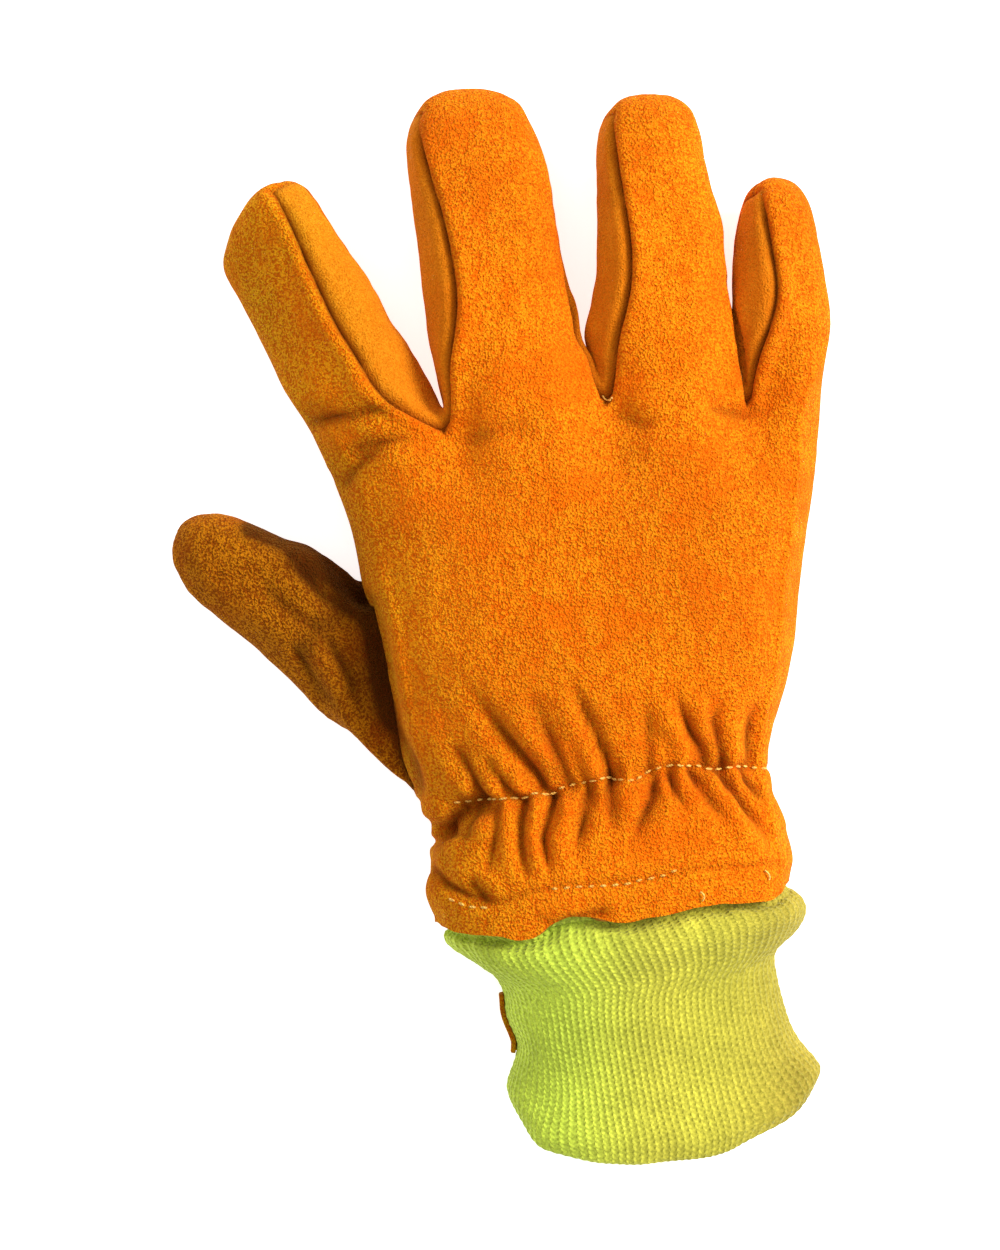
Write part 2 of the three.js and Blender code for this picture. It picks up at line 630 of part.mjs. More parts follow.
// A strip of leather bent round the cuff's lower corner on the thumb's side.
function tabGeometry() {
  const layer = (out) =>
    pullTab.rows.map((down) => pullTab.columns.map((index) => cuffPoint(index, down, -out).toArray()));
  const [below, above] = [layer(tabClearance), layer(tabClearance + leatherWall)];
  const [rowCount, columnCount] = [pullTab.rows.length, pullTab.columns.length];
  const at = (i, j, side) => (side * rowCount + i) * columnCount + j;
  const triangles = [];
  const quad = (a, b, c, d) => triangles.push([a, b, c], [a, c, d]);
  for (let i = 0; i + 1 < rowCount; i++) {
    for (let j = 0; j + 1 < columnCount; j++) {
      quad(at(i, j, 1), at(i, j + 1, 1), at(i + 1, j + 1, 1), at(i + 1, j, 1));
      quad(at(i, j, 0), at(i + 1, j, 0), at(i + 1, j + 1, 0), at(i, j + 1, 0));
    }
    const lastColumn = columnCount - 1;
    quad(at(i, 0, 1), at(i + 1, 0, 1), at(i + 1, 0, 0), at(i, 0, 0));
    quad(at(i + 1, lastColumn, 1), at(i, lastColumn, 1), at(i, lastColumn, 0), at(i + 1, lastColumn, 0));
  }
  for (let j = 0; j + 1 < columnCount; j++) {
    const lastRow = rowCount - 1;
    quad(at(0, j + 1, 1), at(0, j, 1), at(0, j, 0), at(0, j + 1, 0));
    quad(at(lastRow, j, 1), at(lastRow, j + 1, 1), at(lastRow, j + 1, 0), at(lastRow, j, 0));
  }
  return meshGeometry([...below, ...above].flat(), triangles);
}

const glove = new THREE.Group();
function addMesh(name, geometry, material) {
  const mesh = new THREE.Mesh(geometry, material);
  mesh.name = name;
  glove.add(mesh);
}
for (const panel of ["back_panel", "palm_panel", "thumb_back", "thumb_front"])
  addMesh(panel, panelGeometry(panel, leatherWall), leather);
for (const panel of fourchettes) addMesh(panel, panelGeometry(panel, fourchetteWall), gussetLeather);
addMesh("knit_cuff", cuffGeometry(), knit);
addMesh("pull_tab", tabGeometry(), leather);

// The origin goes under the middle of the whole glove, on the floor.
const box = new THREE.Box3().setFromObject(glove);
const middle = box.getCenter(new THREE.Vector3());
glove.children.forEach((mesh) => mesh.position.set(-middle.x, -middle.y, -box.min.z));

export default glove;
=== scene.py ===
# Right-hand firefighter glove of orange split suede with a knitted wristlet, lying on its palm.
# The leather is one smooth skin over a cage, sculpted with seams and folds and then cut into its panels.
import math

import bpy
import numpy as np
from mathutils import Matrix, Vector, noise
from mathutils.bvhtree import BVHTree
from mathutils.kdtree import KDTree


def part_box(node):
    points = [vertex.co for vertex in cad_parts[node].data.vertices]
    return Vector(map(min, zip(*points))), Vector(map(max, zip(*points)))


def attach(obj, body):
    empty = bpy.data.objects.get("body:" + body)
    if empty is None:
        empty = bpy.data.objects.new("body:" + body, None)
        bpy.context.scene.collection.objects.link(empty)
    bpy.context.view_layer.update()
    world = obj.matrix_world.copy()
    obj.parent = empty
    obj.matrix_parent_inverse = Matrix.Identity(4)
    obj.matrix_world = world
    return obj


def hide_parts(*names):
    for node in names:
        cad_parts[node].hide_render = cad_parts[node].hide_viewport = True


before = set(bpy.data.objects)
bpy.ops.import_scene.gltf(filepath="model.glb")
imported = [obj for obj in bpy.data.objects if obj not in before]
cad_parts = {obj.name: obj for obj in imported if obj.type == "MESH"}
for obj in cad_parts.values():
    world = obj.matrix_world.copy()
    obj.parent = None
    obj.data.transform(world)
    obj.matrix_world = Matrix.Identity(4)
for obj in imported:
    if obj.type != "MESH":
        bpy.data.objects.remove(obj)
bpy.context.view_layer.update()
print("frame loaded:", len(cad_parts), "nodes")

mm = 0.001
photo = {
    "scale": 0.285,  # millimetres for each pixel
    "centre": (499, 623),  # the pixel above the part's origin
    "planeHeight": 20.0,  # where the scale holds
    "distance": 1500.0,  # from there up to the camera
    "height": 1250,  # of the frame, in pixels
    "sensor": 36,
    "cameraPlace": (0.0003, -0.0006),  # the camera's x and y in metres
}

# The glove's sizes in millimetres and degrees, as in the part but for the little finger and the strips.
hand = {
    "palmWidth": 134.0,
    "palmLength": 102.0,
    "palmDepth": 46.0,
    "skirtLength": 33.0,
    "roundness": 2.6,
    "palmFlatness": 4.5,
    "sideAngle": 23.0,
    "restSink": 1.0,
    "crotchSpread": 0.11,
    "crotchRun": 0.3,
    "rings": [1, 0.87, 0.75, 0.63, 0.49, 0.36, 0.24, 0.13, 0.06, 0],
    "skirtRings": [0.15, 0.38, 0.62, 0.8, 1],
}
finger = {
    "length": 95.0,
    "width": 40.0,
    "depth": 29.0,
    "columns": 5,  # across the back of each finger
    "rings": 10,
    "stripRings": 8,  # the side strips end at this ring, short of the tip
    "roundness": 2.5,
    "arch": 0.2,
    "baseBlend": 0.36,
    "baseSkew": 0.75,
    "tipDepth": 0.86,
    "tipRoundness": 2.3,
    "crowding": 1.6,
    "rollEnd": 0.5,
    "slantStart": 0.4,
    "taperStart": 0.3,
    "depthStart": 0.2,
    "stripNarrows": (0.45, 1.0),  # where the side strips get narrower towards the tip
    "stripTip": 0.6,  # their width there
    "rest": 0.3,
    "indexSqueeze": (0.22, 0.05),  # narrows the index's back beside its strip, at the base and above
}
thumb = {
    "reach": 72.0,
    "rise": 50.0,
    "width": 32.0,
    "depth": 27.0,
    "rings": 9,
    "firstRing": 3,
    "lastRing": 7,
    "palmColumns": 4,
    "root": -0.17,
    "elbow": (0.59, 0.7),
    "seamColumn": 16,
    "seamColumns": 9,
    "swell": 1.3,
    "taper": 0.85,
    "taperEnd": 0.8,
    "round": 0.24,
}


def table(columns, rows):
    return {name: [row[i] for row in rows] for i, name in enumerate(columns.split())}


# Sections as shares of the sizes above.
handSections = table("place centre width depth side lift", [
    (0.0, 0.051, 0.693, 0.84, 0.46, 0.05),
    (0.12, 0.032, 0.77, 0.92, 0.45, 0.02),
    (0.3, 0.026, 0.849, 0.99, 0.45, 0.0),
    (0.5, 0.019, 0.893, 1.0, 0.44, 0.0),
    (0.75, 0.012, 0.963, 0.97, 0.43, 0.0),
    (1.0, -0.017, 1.054, 0.88, 0.43, 0.04),
])
skirtSections = table("place centre width depth side lift", [
    (0.0, 0.051, 0.693, 0.84, 0.46, 0.05),
    (0.2, 0.05, 0.725, 0.91, 0.46, 0.02),
    (0.5, 0.056, 0.77, 0.96, 0.46, 0.01),
    (0.8, 0.069, 0.79, 0.97, 0.46, 0.01),
    (1.0, 0.069, 0.78, 0.96, 0.46, 0.02),
])
crossLines = table("place elastic knuckle hem", [
    (0.0, -0.157, 0.924, 0.72),
    (0.12, -0.06, 0.955, 1.08),
    (0.222, -0.03, 0.987, 1.16),
    (0.4, -0.005, 1.035, 1.12),
    (0.552, 0.03, 1.072, 1.14),
    (0.7, 0.046, 1.085, 1.08),
    (0.843, 0.056, 1.072, 1.02),
    (1.0, 0.057, 1.02, 0.95),
])
crotches = [  # across, dip, rise, web
    (0.243, 0.13, 0.15, 0.06),
    (0.569, 0.17, 0.16, 0.15),
    (0.853, 0.15, 0.16, 0.12),
]
webShifts = [0.0, -5.0, -4.0]  # how far each crotch's web lies towards the thumb, in millimetres
stripHalves = [  # half heights of each finger's side strips: thumb's side, little finger's side
    (0.45, 0.72),
    (0.84, 0.3),
    (0.84, 0.3),
    (0.84, 0.5),
]
fingers = [  # length, width, depth, shift, lean, bend, roll, taper, round, slant
    (0.81, 0.92, 0.97, 0.01, -30, 1, -38, 0.95, 0.14, 20),
    (0.98, 1.05, 1.0, -0.02, -9, 2, 13, 0.93, 0.2, 0),
    (0.9, 0.94, 0.98, -0.07, -4.5, 0, 15, 0.76, 0.15, 0),
    (0.69, 0.69, 0.9, 0.01, 2, -8, 34, 0.68, 0.24, 0),
]


def lerp(a, b, share):
    return a + (b - a) * share


def smooth(x, low, high):
    t = np.clip((x - low) / (high - low), 0, 1)
    return t * t * (3 - 2 * t)


# A power of a cosine or sine that keeps its sign, for rounded ovals.
def bulge(value, exponent):
    return np.sign(value) * np.abs(value) ** (2 / exponent)


# One column of a table at any place between its rows, along a smooth curve through them.
def readTable(source, column, at):
    places = source["place"]
    values = source[column]
    last = len(places) - 1
    at = min(max(at, places[0]), places[last])
    i = 0
    while i < last - 1 and places[i + 1] < at:
        i += 1

    def slope(k):
        low = max(k - 1, 0)
        high = min(k + 1, last)
        return (values[high] - values[low]) / (places[high] - places[low])

    span = places[i + 1] - places[i]
    t = (at - places[i]) / span
    rise = (1 - t) ** 2
    return (
        (1 + 2 * t) * rise * values[i] + t * rise * span * slope(i)
        + t * t * (3 - 2 * t) * values[i + 1] + t * t * (t - 1) * span * slope(i + 1)
    )


def readRow(source, place):
    return {name: readTable(source, name, place) for name in source if name != "place"}


# Angles round the hand: up the thumb's side, over the back, down the other side, back across the palm.
columns = finger["columns"]
backCount = 4 * columns
ringCount = 2 * backCount + 4


def angleAcross(across):
    return math.acos(-bulge(1 - 2 * across, 4 / hand["roundness"]))


def backAngle(column):
    number = min(column // columns, 3)
    side = math.radians(hand["sideAngle"])
    start = math.pi - side if number == 0 else angleAcross(crotches[number - 1][0])
    end = side if number == 3 else angleAcross(crotches[number][0])
    return lerp(start, end, column / columns - number)


def handAngle(index):
    index = index % ringCount
    if index == 1:
        return math.pi
    if index == backCount + 3:
        return 0
    if index == 0:
        return -backAngle(0)
    if index <= backCount + 2:
        return backAngle(index - 2)
    return -backAngle(2 * backCount + 4 - index)


def ringAngle(index):
    first = math.floor(index)
    turned = [handAngle(k) + (2 * math.pi if k < 1 else 0) for k in (first, first + 1)]
    return lerp(turned[0], turned[1], index - first)


def ovalHeight(s, depth, sideHeight, roundness):
    above = sideHeight + (depth - sideHeight) * bulge(s, roundness)
    below = np.maximum(0, sideHeight * (1 + bulge(s, hand["palmFlatness"])) - hand["restSink"])
    return np.where(s >= 0, above, below)


# A point of the hand (along from 0 to 1) or of its skirt (along from 0 to -1), and the way out from it.
def handSurface(angle, along):
    inSkirt = along < 0
    place = abs(along)
    source = skirtSections if inSkirt else handSections
    section = readRow(source, place)
    c = math.cos(angle)
    s = math.sin(angle)
    half = section["width"] * hand["palmWidth"] / 2
    depth = section["depth"] * hand["palmDepth"]
    side = bulge(c, hand["roundness"])
    across = (1 + side) / 2
    line = readRow(crossLines, across)
    elastic = line["elastic"] * hand["palmLength"]
    x = section["centre"] * hand["palmWidth"] + half * side
    if inSkirt:
        y = elastic - place * line["hem"] * hand["skirtLength"]
    else:
        y = lerp(elastic, line["knuckle"] * hand["palmLength"], place)
    z = float(ovalHeight(s, depth, section["side"] * depth, hand["roundness"]))
    if s < 0:
        z += section["lift"] * hand["palmDepth"] * -bulge(s, hand["roundness"])
    for crotchAcross, dip, rise, web in crotches:
        near = 1 - smooth(abs(across - crotchAcross) / hand["crotchSpread"], 0, 1)
        reach = 0 if inSkirt else 1 - smooth((1 - along) / hand["crotchRun"], 0, 1)
        z += near * reach * hand["palmDepth"] * (-dip if s >= 0 else rise)
    out = Vector((c / half, s / depth)).normalized()
    return Vector((x, y, z)), out


# The cage: points in millimetres, and faces with the panel that each belongs to.
cagePoints = []
cageFaces = []
panelNames = [
    "back_panel", "palm_panel", "thumb_back", "thumb_front",
    "fourchette_index_middle", "fourchette_middle_ring", "fourchette_ring_little",
]


def addPoint(point):
    cagePoints.append(Vector(point))
    return len(cagePoints) - 1


def joinRings(lower, upper, panelOf):
    for k in range(len(lower)):
        beside = (k + 1) % len(lower)
        panel = panelOf(k)
        if panel:
            face = (lower[k], lower[beside], upper[beside], upper[k])
            cageFaces.append((face, panelNames.index(panel)))


def ringAt(along):
    return [addPoint(handSurface(handAngle(k), along)[0]) for k in range(ringCount)]


handRings = [ringAt(along) for along in hand["rings"]]
skirtRings = [ringAt(-down) for down in hand["skirtRings"]]
holeColumns = {0} | {ringCount - k for k in range(1, thumb["palmColumns"] + 1)}


def handPanel(column):
    return "back_panel" if column < backCount + 4 else "palm_panel"


for i in range(len(handRings) - 1):
    openRow = thumb["firstRing"] <= i < thumb["lastRing"]
    joinRings(handRings[i + 1], handRings[i],
              lambda k: None if openRow and k in holeColumns else handPanel(k))
for i, ring in enumerate(skirtRings):
    joinRings(ring, skirtRings[i - 1] if i else handRings[-1], handPanel)


# Half sizes of a finger near its end: a tapering oval closed by a round tip.
def tipProfile(t, roundShare):
    u = np.clip((t - (1 - roundShare)) / roundShare, 0, 1)
    return (1 - u ** finger["tipRoundness"]) ** (1 / finger["tipRoundness"])


# A finger or thumb from a loop of the cage: each ring blends from the loop to an oval on the curve.
# squeezeOf slides the back's points towards its first column, so that the strip at its last one is wider.
def growTube(loop, curve, rings, angleOf, halfWidth, halfDepth, rollOf, slant, panelOf, squeezeOf=None):
    def frameAt(t):
        origin = curve[0] * (1 - t) ** 2 + curve[1] * 2 * t * (1 - t) + curve[2] * t ** 2
        tangent = ((curve[1] - curve[0]) * (1 - t) + (curve[2] - curve[1]) * t).normalized()
        side = Vector((tangent.y, -tangent.x, 0)).normalized()
        up = side.cross(tangent)
        roll = rollOf(t)
        return (origin, tangent, side * math.cos(roll) - up * math.sin(roll),
                up * math.cos(roll) + side * math.sin(roll))

    origin, tangent, side, up = frameAt(0)
    local = []
    for index in loop:
        away = cagePoints[index] - origin
        local.append((away.dot(side), away.dot(up), away.dot(tangent)))
    previous = loop
    for k in range(1, rings):
        t = 1 - (1 - k / rings) ** finger["crowding"]
        origin, tangent, side, up = frameAt(t)
        blend = smooth(t, 0, finger["baseBlend"])
        skew = smooth(t, 0, finger["baseSkew"])
        ring = []
        for index in range(len(loop)):
            angle = angleOf(index, t)
            across = halfWidth(t) * bulge(math.cos(angle), finger["roundness"])
            height = halfDepth(t) * bulge(math.sin(angle), finger["roundness"])
            ahead = across * math.tan(slant) * smooth(t, finger["slantStart"], 1)
            point = (origin + side * lerp(local[index][0], across, blend)
                     + up * lerp(local[index][1], height, blend)
                     + tangent * lerp(local[index][2], ahead, skew))
            point.z = max(finger["rest"], point.z)
            ring.append(addPoint(point))
        if squeezeOf:
            back = [cagePoints[index].copy() for index in ring[:finger["columns"] + 1]]
            for index in range(1, len(back)):
                place = index * (1 - squeezeOf(t))
                low = min(int(place), len(back) - 2)
                cagePoints[ring[index]] = back[low].lerp(back[low + 1], place - low)
        joinRings(previous, ring, lambda column: panelOf(column, k))
        previous = ring
    pole = addPoint(frameAt(1)[0])
    for column, corner in enumerate(previous):
        beside = previous[(column + 1) % len(previous)]
        cageFaces.append(((corner, beside, pole), panelNames.index(panelOf(column, rings))))


def middleOf(loop):
    return sum((cagePoints[k] for k in loop), Vector()) / len(loop)


knuckles = handRings[0]
crotchPoints = []
for i, (across, dip, rise, web) in enumerate(crotches):
    backPoint = cagePoints[knuckles[2 + columns * (i + 1)]]
    palmPoint = cagePoints[knuckles[ringCount - columns * (i + 1)]]
    webMove = Vector((webShifts[i], web * finger["length"], 0))
    crotchPoints.append(addPoint((backPoint + palmPoint) / 2 + webMove))

for i, (long, wide, deep, shift, lean, bend, roll, taper, roundShare, slant) in enumerate(fingers):
    palmEnd = ringCount - columns * i
    farSide = knuckles[backCount + 3] if i == 3 else crotchPoints[i]
    nearSide = knuckles[1] if i == 0 else crotchPoints[i - 1]
    loop = [*knuckles[2 + columns * i:3 + columns * (i + 1)], farSide,
            *[knuckles[k % ringCount] for k in range(palmEnd - columns, palmEnd + 1)], nearSide]
    length = long * finger["length"]
    depth = deep * finger["depth"] / 2
    width = wide * finger["width"] / 2
    start = middleOf(loop) + Vector((shift * finger["width"], 0, 0))
    turn = [math.radians(lean), math.radians(lean + bend)]
    elbow = start + Vector((math.sin(turn[0]), math.cos(turn[0]), 0)) * length / 2
    tip = elbow + Vector((math.sin(turn[1]), math.cos(turn[1]), 0)) * length / 2
    elbow.z = start.z + finger["arch"] * depth
    tip.z = depth * finger["tipDepth"] + finger["rest"]

    def angleOf(index, t):
        narrow = lerp(1, finger["stripTip"], smooth(t, *finger["stripNarrows"]))
        near, far = [math.asin((half * narrow) ** (finger["roundness"] / 2)) for half in stripHalves[i]]
        if index <= columns:
            return lerp(math.pi - near, far, index / columns)
        if index == columns + 1:
            return 0
        if index == 2 * columns + 3:
            return math.pi
        return lerp(-far, near - math.pi, (index - columns - 2) / columns)

    def panelOf(column, ring):
        if column < columns:
            return "back_panel"
        if columns + 2 <= column < 2 * columns + 2:
            return "palm_panel"
        onFarSide = column < columns + 2
        if ring > finger["stripRings"]:
            return "back_panel" if column in (columns, 2 * columns + 3) else "palm_panel"
        if (onFarSide and i == 3) or (not onFarSide and i == 0):
            return "back_panel"
        return panelNames[4 + (i if onFarSide else i - 1)]

    growTube(
        loop, (start, elbow, tip), finger["rings"], angleOf,
        lambda t: width * lerp(1, taper, smooth(t, finger["taperStart"], 1)) * tipProfile(t, roundShare),
        lambda t: (depth * lerp(1, finger["tipDepth"], smooth(t, finger["depthStart"], 1))
                   * tipProfile(t, roundShare)),
        lambda t: math.radians(roll) * smooth(t, 0, finger["rollEnd"]),
        math.radians(slant), panelOf,
        (lambda t: lerp(*finger["indexSqueeze"], smooth(t, 0.1, 0.5))) if i == 0 else None)

firstRing = thumb["firstRing"]
lastRing = thumb["lastRing"]
palmColumns = thumb["palmColumns"]
thumbLoop = [handRings[j][1] for j in range(lastRing, firstRing, -1)]
thumbLoop += [handRings[firstRing][k % ringCount] for k in range(1, -palmColumns, -1)]
thumbLoop += [handRings[j][ringCount - palmColumns] for j in range(firstRing, lastRing)]
thumbLoop += [handRings[lastRing][k % ringCount] for k in range(-palmColumns, 1)]
thumbCount = len(thumbLoop)
thumbStart = middleOf(thumbLoop) + Vector((0, thumb["root"] * thumb["rise"], 0))
elbowReach, elbowRise = thumb["elbow"]
thumbMiddle = thumbStart + Vector((-elbowReach * thumb["reach"], elbowRise * thumb["rise"], 0))
thumbTip = thumbStart + Vector((-thumb["reach"], thumb["rise"], 0))
thumbMiddle.z = thumb["depth"] / 2 + finger["rest"]
thumbTip.z = thumb["depth"] / 2 * finger["tipDepth"] + finger["rest"]


def thumbPanel(column, ring):
    place = (column - thumb["seamColumn"]) % thumbCount
    return "thumb_back" if place < thumb["seamColumns"] else "thumb_front"


growTube(
    thumbLoop, (thumbStart, thumbMiddle, thumbTip), thumb["rings"],
    lambda index, t: math.pi / 2 - (index - (lastRing - firstRing) / 2) / thumbCount * 2 * math.pi,
    lambda t: (thumb["width"] / 2 * lerp(thumb["swell"], thumb["taper"], smooth(t, 0, thumb["taperEnd"]))
               * tipProfile(t, thumb["round"])),
    lambda t: (thumb["depth"] / 2 * lerp(1, finger["tipDepth"], smooth(t, finger["depthStart"], 1))
               * tipProfile(t, thumb["round"])),
    lambda t: 0, 0, thumbPanel)

# The knitted cuff, from the leather's hem (place 0) to its end (place 1).
cuff = {
    "width": 104.0,
    "length": 53.5,
    "depth": 43.0,
    "endDrop": 19.0,
    "wall": 3.0,
    "roundness": 2.3,
    "side": 0.46,
    "endRoundness": 3.6,
    "sideRise": 3.0,
    "palmDrop": 0.35,
    "ribs": 104,
    "columnsPerRib": 6,
    "rows": 86,  # of the outside, below the hem
    "outside": (0.012, 0.985),  # places of the first and the last of them
    "tuck": (3.0, 0.075),  # how far in the first one lies, and the place where the knit is fully out
    "endRows": 6,  # round the end
    "endBulge": 1.2,
    "innerRows": (0.95, 0.9, 0.8, 0.7, 0.58, 0.45, 0.34, 0.24, 0.15, 0.08),
    "tuckedRows": [(0.4, 6.5), (0.62, 6.2), (0.8, 5.2), (0.92, 4.2), (1.0, 3.4)],  # place, distance inward
    "tuckedWall": 2.6,
    "gathers": 30,
    "gatherDepth": 0.3,
    "ribHeight": 0.17,
    "loopHeight": 0.08,
    "course": 1.45,  # length of one row of loops
}
cuffSections = table("place left right depth", [
    (0.0, -0.375, 0.585, 0.97),
    (0.08, -0.38, 0.61, 1.0),
    (0.17, -0.34, 0.62, 0.99),
    (0.27, -0.255, 0.594, 0.89),
    (0.37, -0.222, 0.543, 0.84),
    (0.5, -0.208, 0.545, 0.83),
    (0.65, -0.192, 0.565, 0.84),
    (0.8, -0.186, 0.597, 0.86),
    (0.93, -0.188, 0.64, 0.88),
    (1.0, -0.178, 0.628, 0.85),
])


# Points of the cuff at some angles of one row, moved in by a distance, in millimetres.
def cuffRow(angles, hems, down, inward):
    section = readRow(cuffSections, down)
    left = section["left"] * cuff["width"]
    right = section["right"] * cuff["width"]
    depth = section["depth"] * cuff["depth"]
    half = (right - left) / 2
    c = np.cos(angles)
    s = np.sin(angles)
    side = bulge(c, cuff["roundness"])
    hang = (cuff["endDrop"] * (1 - np.abs(side) ** cuff["endRoundness"])
            * np.where(s > 0, 1, cuff["palmDrop"]))
    end = cuff["sideRise"] * side - hand["skirtLength"] - cuff["length"] - hang
    out = np.stack([c / half, s / depth], 1)
    out /= np.linalg.norm(out, axis=1)[:, None]
    x = (left + right) / 2 + half * side - inward * out[:, 0]
    z = ovalHeight(s, depth, cuff["side"] * depth, cuff["roundness"]) - inward * out[:, 1]
    return np.stack([x, lerp(hems, end, down), np.maximum(z, max(inward, 0))], 1)


# The hand's own middle lies beside the part's origin: x from the thumb, y from the cuff's end.
cageThumb = [k for corners, panel in cageFaces if panel == 2 for k in corners]
ringAngles = np.array([handAngle(k) for k in range(ringCount)])
ringHems = np.array([handSurface(angle, -1)[0].y for angle in ringAngles])
cuffEnd = cuffRow(ringAngles, ringHems, 1, 0)[:, 1].min()
handShift = np.array([
    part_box("thumb_back")[0].x / mm - min(cagePoints[k].x for k in cageThumb),
    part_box("knit_cuff")[0].y / mm - cuffEnd,
    0,
])
print("cage:", len(cagePoints), "points,", len(cageFaces), "faces, moved by", np.round(handShift, 2))


def meshObject(name, points, faces, smoothShaded=True):
    mesh = bpy.data.meshes.new(name)
    mesh.from_pydata([tuple(p) for p in points], [], [tuple(f) for f in faces])
    mesh.polygons.foreach_set("use_smooth", [smoothShaded] * len(mesh.polygons))
    made = bpy.data.objects.new(name, mesh)
    bpy.context.scene.collection.objects.link(made)
    return made


def readPoints(mesh):
    flat = np.zeros(len(mesh.vertices) * 3)
    mesh.vertices.foreach_get("co", flat)
    return flat.reshape(-1, 3)


def evaluatedMesh(made):
    graph = bpy.context.evaluated_depsgraph_get()
    graph.update()
    return bpy.data.meshes.new_from_object(made.evaluated_get(graph), depsgraph=graph)


# Subdivision draws a cage inward, so its points go out until the smooth surface passes through
# the part's points.
fitting = {"turns": 4, "share": 0.8}
wanted = np.array([tuple(p) for p in cagePoints]) + handShift
cage = meshObject("skinCage", wanted, [corners for corners, panel in cageFaces])
cage.data.polygons.foreach_set("material_index", [panel for corners, panel in cageFaces])
for name in panelNames:
    cage.data.materials.append(bpy.data.materials.new(name + "Cage"))
subdivision = cage.modifiers.new("smoothSkin", "SUBSURF")
subdivision.levels = 1
subdivision.use_limit_surface = True
for turn in range(fitting["turns"]):
    reached = readPoints(evaluatedMesh(cage))[:len(wanted)]
    moved = readPoints(cage.data) + (wanted - reached) * fitting["share"]
    cage.data.vertices.foreach_set("co", moved.ravel())
    cage.data.update()
subdivision.levels = 3
skin = evaluatedMesh(cage)
furthest = float(np.abs(wanted - reached).max())
print("skin:", len(skin.vertices), "points, furthest off", round(furthest, 2), "mm")

skinPoints = readPoints(skin)
corners = np.zeros(len(skin.loops), int)
skin.loops.foreach_get("vertex_index", corners)
skinFaces = corners.reshape(-1, 4)
facePanels = np.zeros(len(skin.polygons), int)
skin.polygons.foreach_get("material_index", facePanels)
bpy.data.objects.remove(cage)


def normalsOf(points, faces):
    across = points[faces[:, 2]] - points[faces[:, 0]]
    along = points[faces[:, 3]] - points[faces[:, 1]]
    faceNormals = np.cross(across, along)
    normals = np.zeros_like(points)
    for k in range(4):
        np.add.at(normals, faces[:, k], faceNormals)
    return normals / np.maximum(np.linalg.norm(normals, axis=1), 1e-9)[:, None]


def noiseAt(points, size, seed):
    shift = Vector((seed * 13.7, seed * 5.1, seed * 3.3))
    return np.array([noise.noise(Vector(p) / size + shift) for p in points])


# Where a point shows in the photograph, in its pixels.
def seenAt(points):
    nearer = photo["distance"] / (photo["distance"] - (points[:, 2] - photo["planeHeight"]))
    x = photo["centre"][0] + points[:, 0] * nearer / photo["scale"]
    y = photo["centre"][1] - points[:, 1] * nearer / photo["scale"]
    return np.stack([x, y], 1)


# Small moves found by laying the render over the photograph: a pixel, how many pixels to the right and
# down the surface there goes, and how far the move reaches.
pulls = [
    (470, 95, -8, 0, 42), (530, 128, -5, 0, 34), (584, 335, -7, 0, 20),
    (283, 186, 0, 5, 32), (366, 278, 6, 0, 34), (228, 268, -3, -1, 22),
    (718, 220, 4, 0, 34),
    (212, 510, 0, 4, 30), (306, 552, 0, -3, 22), (362, 568, 0, 28, 32), (170, 572, 8, 0, 30),
    (336, 722, -9, 0, 32), (372, 752, -5, 0, 26), (425, 812, 4, 0, 18), (443, 842, -8, 0, 20),
    (795, 842, -6, 0, 24), (430, 925, 5, -5, 16), (525, 934, 0, 7, 24), (562, 927, 0, -7, 20),
    (592, 920, 0, -4, 18), (622, 914, 0, 9, 22), (665, 904, 0, 11, 30), (715, 890, 0, 13, 30),
    (765, 882, 0, 17, 30), (799, 878, -8, 0, 14), (462, 958, 7, 0, 26), (495, 990, 4, 0, 24),
    (506, 1050, 8, 0, 26), (510, 1080, -5, 0, 24), (522, 1112, -5, 0, 26), (549, 1140, -14, 3, 30),
    (808, 1080, 9, 0, 28), (788, 1112, 12, 0, 28), (754, 1140, -6, 0, 26),
]


def pulled(points):
    seen = seenAt(points)
    shift = np.zeros((len(points), 2))
    weight = np.zeros(len(points))
    for x, y, right, down, reach in pulls:
        share = np.exp(-((seen[:, 0] - x) ** 2 + (seen[:, 1] - y) ** 2) / reach ** 2)
        shift += share[:, None] * (right, -down)
        weight += share
    moved = points.copy()
    moved[:, :2] += shift / np.maximum(weight, 1)[:, None] * photo["scale"]
    return moved


# Distance of each seen point to a line of pixels, in millimetres, the side it lies on, and its place.
def fromLine(seen, line):
    best = np.full(len(seen), 1e9)
    side = np.zeros(len(seen))
    place = np.zeros(len(seen))
    corners = np.array(line, float)
    lengths = np.linalg.norm(np.diff(corners, axis=0), axis=1)
    total = lengths.sum()
    before = 0
    for a, b, length in zip(corners[:-1], corners[1:], lengths):
        along = (b - a) / length
        away = seen - a
        t = np.clip(away @ along, 0, length)
        rest = away - t[:, None] * along
        distance = np.linalg.norm(rest, axis=1)
        closer = distance < best
        best = np.where(closer, distance, best)
        side = np.where(closer, np.sign(along[0] * rest[:, 1] - along[1] * rest[:, 0]), side)
        place = np.where(closer, (before + t) / total, place)
        before += length
    return best * photo["scale"], side, place


